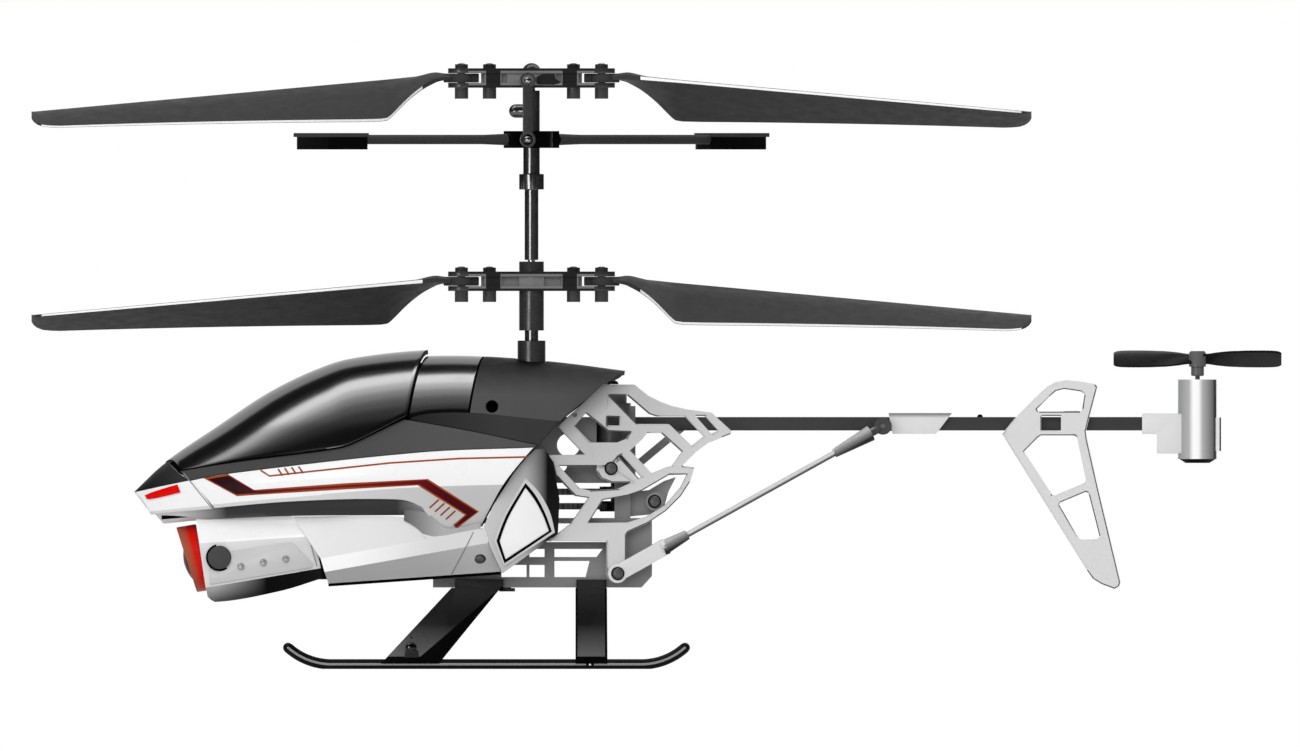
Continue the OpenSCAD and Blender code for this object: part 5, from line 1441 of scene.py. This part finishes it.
# Solids with more than one finish, and the planes at which their faces are parted
GRIP_PLANES = [upright(MAST_X - x) for x in (GRIP_REACH, *reversed(GRIP_BLOCK))]
GRIP_PLANES += [upright(MAST_X + x) for x in (*GRIP_BLOCK, GRIP_REACH)]
ZONES = {
    "rotor_head": (grip_zone, GRIP_PLANES + [level(UPPER_Z - GRIP_LINE), level(UPPER_Z + GRIP_LINE)]),
    "lower_hub": (grip_zone, GRIP_PLANES + [level(LOWER_Z - GRIP_LINE), level(LOWER_Z + GRIP_LINE)]),
    "flybar": (flybar_zone, []),
    "camera_bezel": (lambda p, normal: "lamp" if normal.x < -0.5 else None, []),
    "boom_clamp": (lambda p, normal: "boss" if p.x < 47.3 else None, []),
    "tail_motor": (barrel_zone, [upright(CLIP_X)]),
}
for side, _ in SIDES:
    ZONES[f"front_leg_{side}"] = (front_leg_zone, [LEG_FOLD, level(LEG_FOOT)])
    ZONES[f"rear_leg_{side}"] = (rear_leg_zone, [*map(upright, REAR_LEG_FACE), level(LEG_FOOT)])
    ZONES[f"skid_{side}"] = (skid_zone, [upright(SKID_PIN_X + x) for x in (-PIN_GAP, -PIN_HALF, PIN_HALF, PIN_GAP)])
    ZONES[f"stay_clevis_{side}"] = ZONES[f"stay_rod_{side}"] = (stay_zone, [])


def paint_zones(obj, zone, planes):
    """Parts the faces of a piece at planes and gives them the finishes of their zones."""
    with edited(obj.data) as bm:
        for place, normal in planes:
            parts = [*bm.verts, *bm.edges, *bm.faces]
            bmesh.ops.bisect_plane(bm, geom=parts, dist=1e-7, plane_co=Vector(place) * MM, plane_no=normal)
    colour_faces(obj, zone)


def drop_custom_normals(mesh):
    if mesh.has_custom_normals:
        mesh.attributes.remove(mesh.attributes["custom_normal"])


RIM_WIDTH = 0.2


def shade_rims(obj):
    """Draws the thin line of shade along the lower and rear edges of a plate."""
    with edited(obj.data) as bm:
        flat = [face for face in bm.faces if abs(face.normal.y) > 0.95]
        rim = bmesh.ops.inset_region(bm, faces=flat, thickness=RIM_WIDTH * MM, use_even_offset=True)["faces"]
        for face in flat + rim:
            face.smooth = False
        for face in rim:
            for edge in face.edges:
                if len(edge.link_faces) == 2 and edge.calc_face_angle() > 0.3:
                    out = (edge.verts[0].co + edge.verts[1].co) / 2 - face.calc_center_median()
                    face.material_index = int(out.x - out.z > 0)
    drop_custom_normals(obj.data)
    obj.data.materials.append(FINISHES["outline"])


def body_with(node):
    return frame["nodes"][node]["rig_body"]


class HELI_OT_rounded(bpy.types.Operator):
    """Rounds the edges of the chassis, frames, tail, legs and rotor parts"""

    bl_idname = "heli.rounded"
    bl_label = "Rounded parts"

    def execute(self, context):
        for node, (look, slot, radius) in ROUNDED.items():
            mesh = frame["nodes"][node].data.copy()
            obj = new_object(f"{node}_round", mesh)
            tidy_normals(mesh, 2e-6)
            for layer in list(mesh.uv_layers):
                mesh.uv_layers.remove(layer)
            drop_custom_normals(mesh)
            machined(obj, radius * MM, angle=35, sharp=35)
            finish(obj, look, body_with(node), slot, node)
            if node in ZONES:
                paint_zones(obj, *ZONES[node])
            if look in ("frames", "fin"):
                shade_rims(obj)
            obj.visible_glossy = node not in NO_REFLECTION
        return {"FINISHED"}


def scatter_tree():
    """Node tree that sets a template on every point, turned along the point's outward direction."""
    tree = bpy.data.node_groups.new("Set on points", "GeometryNodeTree")
    face = tree.interface
    face.new_socket("Points", in_out="INPUT", socket_type="NodeSocketGeometry")
    sockets = {
        name: face.new_socket(name, in_out="INPUT", socket_type=f"NodeSocket{kind}").identifier
        for name, kind in (("Template", "Object"), ("Material", "Material"), ("Scale", "Float"), ("Seed", "Int"))
    }
    face.new_socket("Geometry", in_out="OUTPUT", socket_type="NodeSocketGeometry")
    start = node_of(tree, "NodeGroupInput")
    end = node_of(tree, "NodeGroupOutput")
    info = node_of(tree, "GeometryNodeObjectInfo", in_As_Instance=True)
    facing = node_of(tree, "GeometryNodeInputNamedAttribute", data_type="FLOAT_VECTOR", in_Name="outward")
    size = node_of(tree, "GeometryNodeInputNamedAttribute", data_type="FLOAT", in_Name="size")
    spin = node_of(tree, "FunctionNodeRandomValue", data_type="FLOAT", in_Max=math.pi)
    own_turn = node_of(tree, "FunctionNodeAxisAngleToRotation", in_Axis=(0, 0, 1))
    turn = node_of(tree, "FunctionNodeAlignRotationToVector", axis="Z")
    grow = node_of(tree, "ShaderNodeMath", operation="MULTIPLY")
    put = node_of(tree, "GeometryNodeInstanceOnPoints")
    real = node_of(tree, "GeometryNodeRealizeInstances")
    paint = node_of(tree, "GeometryNodeSetMaterial")
    for a, b in (
        (start.outputs["Template"], info.inputs["Object"]),
        (start.outputs["Points"], put.inputs["Points"]),
        (info.outputs["Geometry"], put.inputs["Instance"]),
        (start.outputs["Seed"], spin.inputs["Seed"]),
        (next(s for s in spin.outputs if s.enabled), own_turn.inputs["Angle"]),
        (own_turn.outputs["Rotation"], turn.inputs["Rotation"]),
        (facing.outputs["Attribute"], turn.inputs["Vector"]),
        (turn.outputs["Rotation"], put.inputs["Rotation"]),
        (size.outputs["Attribute"], grow.inputs[0]),
        (start.outputs["Scale"], grow.inputs[1]),
        (grow.outputs["Value"], put.inputs["Scale"]),
        (put.outputs["Instances"], real.inputs["Geometry"]),
        (real.outputs["Geometry"], paint.inputs["Geometry"]),
        (start.outputs["Material"], paint.inputs["Material"]),
        (paint.outputs["Geometry"], end.inputs["Geometry"]),
    ):
        tree.links.new(a, b)
    return tree, sockets


def scattered(name, spots, template, look, seed, body, slot, *nodes):
    """A piece made of templates at spots: (place in mm, outward direction, size in mm)."""
    obj = mesh_object(name, [p for p, _, _ in spots], [])
    for layer, kind in (("outward", "FLOAT_VECTOR"), ("size", "FLOAT")):
        obj.data.attributes.new(layer, kind, "POINT")
    for i, (_, direction, radius) in enumerate(spots):
        obj.data.attributes["outward"].data[i].vector = Vector(direction).normalized()
        obj.data.attributes["size"].data[i].value = radius
    tree, sockets = scatter_tree()
    setter = obj.modifiers.new("Set on points", "NODES")
    setter.node_group = tree
    for key, value in (("Template", template), ("Material", FINISHES[look]), ("Scale", 1.0), ("Seed", seed)):
        setter[sockets[key]] = value
    settle(obj, 30)
    for layer in ("outward", "size"):
        if layer in obj.data.attributes:
            obj.data.attributes.remove(obj.data.attributes[layer])
    bpy.data.node_groups.remove(tree)
    return finish(obj, look, body, slot, *nodes)


def dome_template(name, profile, slot=None):
    """A turned head of radius 1 mm on the Z axis; slot is the (arm, half width, depth) of a cross recess."""
    head = lathe_object(name, profile, (0, 0), 40)
    if slot:
        arm, half, depth = slot
        top = profile[-1][1]
        for number, (a, b) in enumerate(((arm, half), (half, arm))):
            corners = [(x, y, z) for x in (-a, a) for y in (-b, b) for z in (top - depth, top + 1)]
            faces = [(0, 1, 3, 2), (4, 6, 7, 5), (0, 4, 5, 1), (2, 3, 7, 6), (0, 2, 6, 4), (1, 5, 7, 3)]
            cutter = mesh_object(f"{name}_slot_{number}", corners, faces)
            tidy_normals(cutter.data)
            machined(head, 0, [cutter], sharp=30)
    return machined(head, 0.04 * MM, angle=35, sharp=30)


FRAME_X, FRAME_Y = -22, 15.42
# Profiles of the templates, as (radius, height)
DOME = [(1, 0), (1, 0.18), (0.9, 0.42), (0.62, 0.6), (0.3, 0.67), (0.05, 0.68)]
WASHER = [(1, 0), (1, 0.1), (0.96, 0.16), (0.05, 0.16)]
BALL = [(1, 0), *((math.cos(a), math.sin(a)) for a in (math.radians(8 + 10 * k) for k in range(8))), (0.05, 1)]
CROSS_SLOT = (0.62, 0.13, 0.4)
# Places in side view; the third number is how far a screw stands out of the frame, or a radius
FRAME_SCREWS = [(-9.1, 40.1, 0.02), (-0.2, 33.5, -1.2), (-8, 19.1, 1.4)]
FRAME_RIVETS = [(-16.4, 50.9, 0.5)]
LEG_SCREWS = [(-49.1, 4.25, 1.12), (-49.05, 6.2, 0.3)]
POD_BUMPS = [(-83.1, 20.5), (-78.6, 21.3), (-74.1, 22)]
FRAME_SCREW_RADIUS, POD_BUMP_RADIUS, RING_SPREAD = 1.1, 0.76, 1.22
# Spots on the right or in the middle: place, outward direction, radius
BELLY_SCREW = ((-35.3, 16.25, 22.1), (0, 0.816, -0.577), 0.95)
FRAME_KNOB = ((-8.7, 14.7 - 13.3 * math.tan(TOE), 56.95), (0, 0, 1), 1.1)
BOOM_PIN = ((64.7, 0, 50.35), (0, 0, 1), 0.6)
HUB_SCREWS, HUB_SCREW_RISE, HUB_SCREW_RADIUS = (-14, -8.4, 8.4, 14), 2.25, 1.05
LEG_CLIP = [(-50.7, 1.2), (-47.3, 1.2), (-47.7, 3.8), (-50.2, 3.8)]
HEAD_LUG = [(-24, 118.4), (-23.3, 118.75), (-22.8, 119), (-20.4, 119), (-20.2, 118), (-19.3, 117.5),
            (-19.3, 117.2), (-20.4, 116.85), (-23.4, 116.85), (-24, 117.05)]


def frame_side(x):
    """How far out the open side frame is; it toes in towards the tail."""
    return FRAME_Y - (x - FRAME_X) * math.tan(TOE)


def on_side(spot, sign):
    (x, y, z), (along, out, up), radius = spot
    return (x, sign * y, z), (along, sign * out, up), radius


def outer_face(name, sign, x, z):
    """How far out a piece's surface is at a place in side view, in millimetres."""
    start = Vector((x * MM, sign * 0.2, z * MM))
    hit, place, _, _ = bpy.data.objects[name].ray_cast(start, Vector((0, -sign, 0)))
    if not hit:
        raise RuntimeError(f"{name} has no surface at {x}, {z}")
    return abs(place.y) / MM


class HELI_OT_fixings(bpy.types.Operator):
    """Sets the screws, rivets and bumps with Geometry Nodes"""

    bl_idname = "heli.fixings"
    bl_label = "Screws, rivets and bumps"

    def execute(self, context):
        screw = dome_template("screw_template", DOME, CROSS_SLOT)
        cap = dome_template("cap_template", DOME)
        washer = dome_template("washer_template", WASHER)
        bump = dome_template("bump_template", BALL)
        for side, sign in SIDES:
            self.set_side(side, sign, cap, washer, bump)
        scattered("boom_pin", [BOOM_PIN], bump, "gasket", 9, AIRFRAME, "black_plastic")
        web = outer_face("rotor_head_round", -1, -21, UPPER_Z) + 0.45
        lug = plate_object("head_lug", HEAD_LUG, lambda x, z: (x, web, z), 0.6, -1, radius=0.08)
        finish(lug, "block", "head", "black_plastic")
        for body, height, piece in (("head", UPPER_Z, "head_screws"), ("lower_rotor", LOWER_Z, "hub_screws")):
            top = height + HUB_SCREW_RISE
            spots = [((MAST_X + x, 0, top), (0, 0, 1), HUB_SCREW_RADIUS) for x in HUB_SCREWS]
            scattered(piece, spots, screw, "hub", 11, body, "black_plastic")
        for template in (screw, cap, washer, bump):
            bpy.data.objects.remove(template)
        return {"FINISHED"}

    def set_side(self, side, sign, cap, washer, bump):
        front_leg = f"front_leg_{side}_round"
        toe = (math.sin(TOE), sign * math.cos(TOE), 0)
        spots = []
        for x, z, out in FRAME_SCREWS:
            place = (x + out * toe[0], sign * (frame_side(x) + out * math.cos(TOE)), z)
            spots.append((place, toe, FRAME_SCREW_RADIUS))
        spots.append(on_side(BELLY_SCREW, sign))
        rings = [(place, out, radius * RING_SPREAD) for place, out, radius in spots]
        scattered(f"screw_heads_{side}", spots, cap, "screw", 3, AIRFRAME, "charcoal_shell", "frame_screws")
        scattered(f"screw_rings_{side}", rings, washer, "gasket", 4, AIRFRAME, "charcoal_shell", "frame_screws")

        def clip_place(x, z):
            return x, min(37.8, outer_face(front_leg, sign, x, max(z, 2)) + 0.3), z

        clip = plate_object(f"leg_clip_{side}", LEG_CLIP, clip_place, 0.9, sign, radius=0.1)
        finish(clip, "clip", AIRFRAME, "black_plastic")
        spots = [
            ((x, sign * (outer_face(front_leg, sign, x, z) - 0.1), z), (0, sign, 0), radius)
            for x, z, radius in LEG_SCREWS
        ]
        scattered(f"leg_screws_{side}", spots, cap, "ball", 6, AIRFRAME, "black_plastic")
        spots = [((x, sign * (pod_side(x, z) + 0.15), z), (0.1, sign, 0), POD_BUMP_RADIUS) for x, z in POD_BUMPS]
        scattered(f"pod_bumps_{side}", spots, bump, "bump", 5, AIRFRAME, "white_shell")
        knob = on_side(FRAME_KNOB, sign)
        scattered(f"frame_knob_{side}", [knob], cap, "gasket", 8, AIRFRAME, "black_plastic")
        spots = [((x, sign * (frame_side(x) - 0.05), z), toe, radius) for x, z, radius in FRAME_RIVETS]
        scattered(f"frame_rivets_{side}", spots, bump, "screw", 7, AIRFRAME, "charcoal_shell")


class HELI_OT_dress(bpy.types.Operator):
    """Gives every solid that shows itself a finish"""

    bl_idname = "heli.dress"
    bl_label = "Finishes of the solids"

    def execute(self, context):
        for node, obj in frame["nodes"].items():
            look = ROUNDED.get(node, ("grey",))[0]
            obj.data.materials.clear()
            obj.data.materials.append(FINISHES[look])
        return {"FINISHED"}


def area_lamp(name, place, target, width, height, power):
    lamp = bpy.data.lights.new(name, "AREA")
    lamp.shape = "RECTANGLE"
    lamp.size, lamp.size_y = width, height
    lamp.energy = power
    obj = bpy.data.objects.new(name, lamp)
    obj.location = place
    obj.rotation_euler = (Vector(target) - Vector(place)).to_track_quat("-Z", "Y").to_euler()
    bpy.context.scene.collection.objects.link(obj)
    return obj


def background_share(tree):
    """1 for the rays that see the backdrop: from the camera, off gloss and through glass."""
    path = tree.nodes.new("ShaderNodeLightPath")
    total = path.outputs["Is Camera Ray"]
    for output in ("Is Glossy Ray", "Is Transmission Ray"):
        top = node_of(tree, "ShaderNodeMath", operation="MAXIMUM")
        tree.links.new(total, top.inputs[0])
        tree.links.new(path.outputs[output], top.inputs[1])
        total = top.outputs["Value"]
    return total


def clear_from_below(tree):
    """Lets the underside of the object be seen through the back of the floor."""
    out = next(node for node in tree.nodes if node.type == "OUTPUT_MATERIAL")
    shader = next(node for node in tree.nodes if node.type == "BSDF_PRINCIPLED")
    mix = node_of(tree, "ShaderNodeMixShader")
    tree.links.new(node_of(tree, "ShaderNodeNewGeometry").outputs["Backfacing"], mix.inputs["Fac"])
    tree.links.new(shader.outputs["BSDF"], mix.inputs[1])
    tree.links.new(node_of(tree, "ShaderNodeBsdfTransparent").outputs["BSDF"], mix.inputs[2])
    tree.links.new(mix.outputs["Shader"], out.inputs["Surface"])


SOFT_LEVEL = 0.43
FLOOR_REACH, FLOOR_Z = 900, -0.05
# Lamps, in metres: place, target, width, height, share of the key light
SOFTBOX = ((-0.2, -0.75, 0.55), (-0.02, 0, 0.05), 1.5, 0.6, 1)
FILL = ((0.2, 0.8, 0.5), (-0.02, 0, 0.05), 1.5, 0.6, 0.5)
STRIP = ((-0.42, -0.82, 0.07), (-0.02, 0, 0.07), 0.3, 0.18, 0.28)
# Strips of the ceiling light, from the front ones to the brightest at the back: edges and share of the key
CEILING = (
    (-0.45, -0.315, 0.2), (-0.315, -0.21, 0.6), (-0.21, -0.125, 1.5), (-0.125, -0.045, 3.2), (-0.045, 0.09, 5.4)
)
# Lengths of each strip, dimmer towards the nose: ends and share of the strip's light
CEILING_PARTS = ((-0.28, 1.3, 1), (-0.55, -0.28, 0.6), (-1.1, -0.55, 0.3))
CEILING_PLACE, CEILING_TURN, CEILING_LEVEL = (-0.25, 0, 0.7), math.radians(22), 0.517
# Dark cards that only gloss shows, as corners in millimetres
FLAG_ENDS, FLAG_LOW, FLAG_HIGH = (-1800, 1800), -1300, 1250
FLAGS = [
    ("front_flag", [(x, y, z) for y, z in ((-1600, FLAG_LOW), (-1350, FLAG_HIGH)) for x in FLAG_ENDS]),
    ("top_flag", [(x, y, FLAG_HIGH) for y in (-1350, 900) for x in FLAG_ENDS]),
]
for name, x in zip(("nose_flag", "tail_flag"), FLAG_ENDS):
    FLAGS.append((name, [(x, y, z) for y in (-1500, 1900) for z in (FLAG_LOW, FLAG_HIGH)]))
CAMERA_PLACE = (-0.0013, -1, 0.0587)


def set_surround(scene):
    """A world that is white where it is seen and softer where it only lights."""
    world = bpy.data.worlds.new("Studio")
    world.use_nodes = True
    tree = world.node_tree
    tree.nodes.clear()
    out = node_of(tree, "ShaderNodeOutputWorld")
    white = node_of(tree, "ShaderNodeBackground", in_Color=(1, 1, 1, 1), in_Strength=1.0)
    soft = node_of(tree, "ShaderNodeBackground", in_Color=(1, 1, 1, 1), in_Strength=SOFT_LEVEL)
    mix = node_of(tree, "ShaderNodeMixShader")
    tree.links.new(background_share(tree), mix.inputs["Fac"])
    tree.links.new(soft.outputs["Background"], mix.inputs[1])
    tree.links.new(white.outputs["Background"], mix.inputs[2])
    tree.links.new(mix.outputs["Shader"], out.inputs["Surface"])
    scene.world = world


def set_floor(colour):
    corners = [(x * FLOOR_REACH, y * FLOOR_REACH, FLOOR_Z) for x, y in ((-1, -1), (1, -1), (1, 1), (-1, 1))]
    floor = mesh_object("floor", corners, [(0, 1, 2, 3)])
    paper = moulded("floor_paper", colour, 0.8, mottle=0.01, grain=0.01, grain_scale=900)
    clear_from_below(paper.node_tree)
    floor.data.materials.append(paper)


def set_lamps(power):
    for name, settings in (("softbox", SOFTBOX), ("fill", FILL)):
        area_lamp(name, *settings[:-1], power * settings[-1]).visible_glossy = False
    area_lamp("strip", *STRIP[:-1], power * STRIP[-1]).visible_diffuse = False
    for number, (front, back, share) in enumerate(CEILING):
        width = back - front
        for part, (start, end, level_here) in enumerate(CEILING_PARTS):
            size = end - start
            middle = Vector(((start + end) / 2, front + width / 2, 0))
            place = Matrix.Rotation(CEILING_TURN, 3, "Z") @ middle + Vector(CEILING_PLACE)
            light = power * share * level_here * width * size * CEILING_LEVEL
            lamp = area_lamp(f"ceiling_{number}_{part}", place, place, size, width, light)
            lamp.rotation_euler = (0, 0, CEILING_TURN)
            lamp.visible_diffuse = False


def set_flags():
    for name, corners in FLAGS:
        flag = mesh_object(name, corners, [(0, 1, 3, 2)])
        flag.data.materials.append(moulded(name, srgb("080808"), 0.9))
        flag.visible_camera = flag.visible_diffuse = flag.visible_shadow = False


def set_camera(scene, width):
    camera = bpy.data.cameras.new("Camera")
    camera.type = "ORTHO"
    camera.ortho_scale = width
    eye = bpy.data.objects.new("Camera", camera)
    eye.location = CAMERA_PLACE
    eye.rotation_euler = (math.pi / 2, 0, 0)
    scene.collection.objects.link(eye)
    scene.camera = eye


class HELI_OT_stage(bpy.types.Operator):
    """Sets the floor, the soft studio light, the white surround and the camera"""

    bl_idname = "heli.stage"
    bl_label = "Floor, light and camera"

    def execute(self, context):
        stage = stage_settings()
        scene = bpy.context.scene
        set_surround(scene)
        set_floor(tuple(stage.floor))
        set_lamps(stage.key_power)
        set_flags()
        set_camera(scene, stage.view_width)
        scene.view_settings.view_transform = "Standard"
        return {"FINISHED"}


STEPS = (
    HELI_OT_canopy,
    HELI_OT_sides,
    HELI_OT_nose,
    HELI_OT_belly,
    HELI_OT_pod,
    HELI_OT_flanks,
    HELI_OT_stripes,
    HELI_OT_blades,
    HELI_OT_tail_rotor,
    HELI_OT_rounded,
    HELI_OT_fixings,
    HELI_OT_dress,
    HELI_OT_stage,
)


class HELI_PT_panel(bpy.types.Panel):
    """Settings and build steps of the helicopter"""

    bl_idname = "HELI_PT_panel"
    bl_label = "Helicopter"
    bl_space_type = "VIEW_3D"
    bl_region_type = "UI"
    bl_category = "Helicopter"

    def draw(self, context):
        for settings in (cabin_settings(), rotor_settings(), stage_settings()):
            box = self.layout.box()
            for name in settings.__annotations__:
                box.prop(settings, name)
        for step in STEPS:
            self.layout.operator(step.bl_idname)


GROUPS = (("heli_cabin", CabinSettings), ("heli_rotor", RotorSettings), ("heli_stage", StageSettings))


def register():
    for name, group in GROUPS:
        bpy.utils.register_class(group)
        setattr(bpy.types.Scene, name, bpy.props.PointerProperty(type=group))
    for step in (*STEPS, HELI_PT_panel):
        bpy.utils.register_class(step)


def unregister():
    for step in reversed((*STEPS, HELI_PT_panel)):
        bpy.utils.unregister_class(step)
    for name, group in reversed(GROUPS):
        delattr(bpy.types.Scene, name)
        bpy.utils.unregister_class(group)


def main():
    register()
    make_finishes()
    for step in STEPS:
        area, name = step.bl_idname.split(".")
        if getattr(getattr(bpy.ops, area), name)() != {"FINISHED"}:
            raise RuntimeError(f"{step.bl_label} did not finish")


if __name__ == "__main__":
    main()
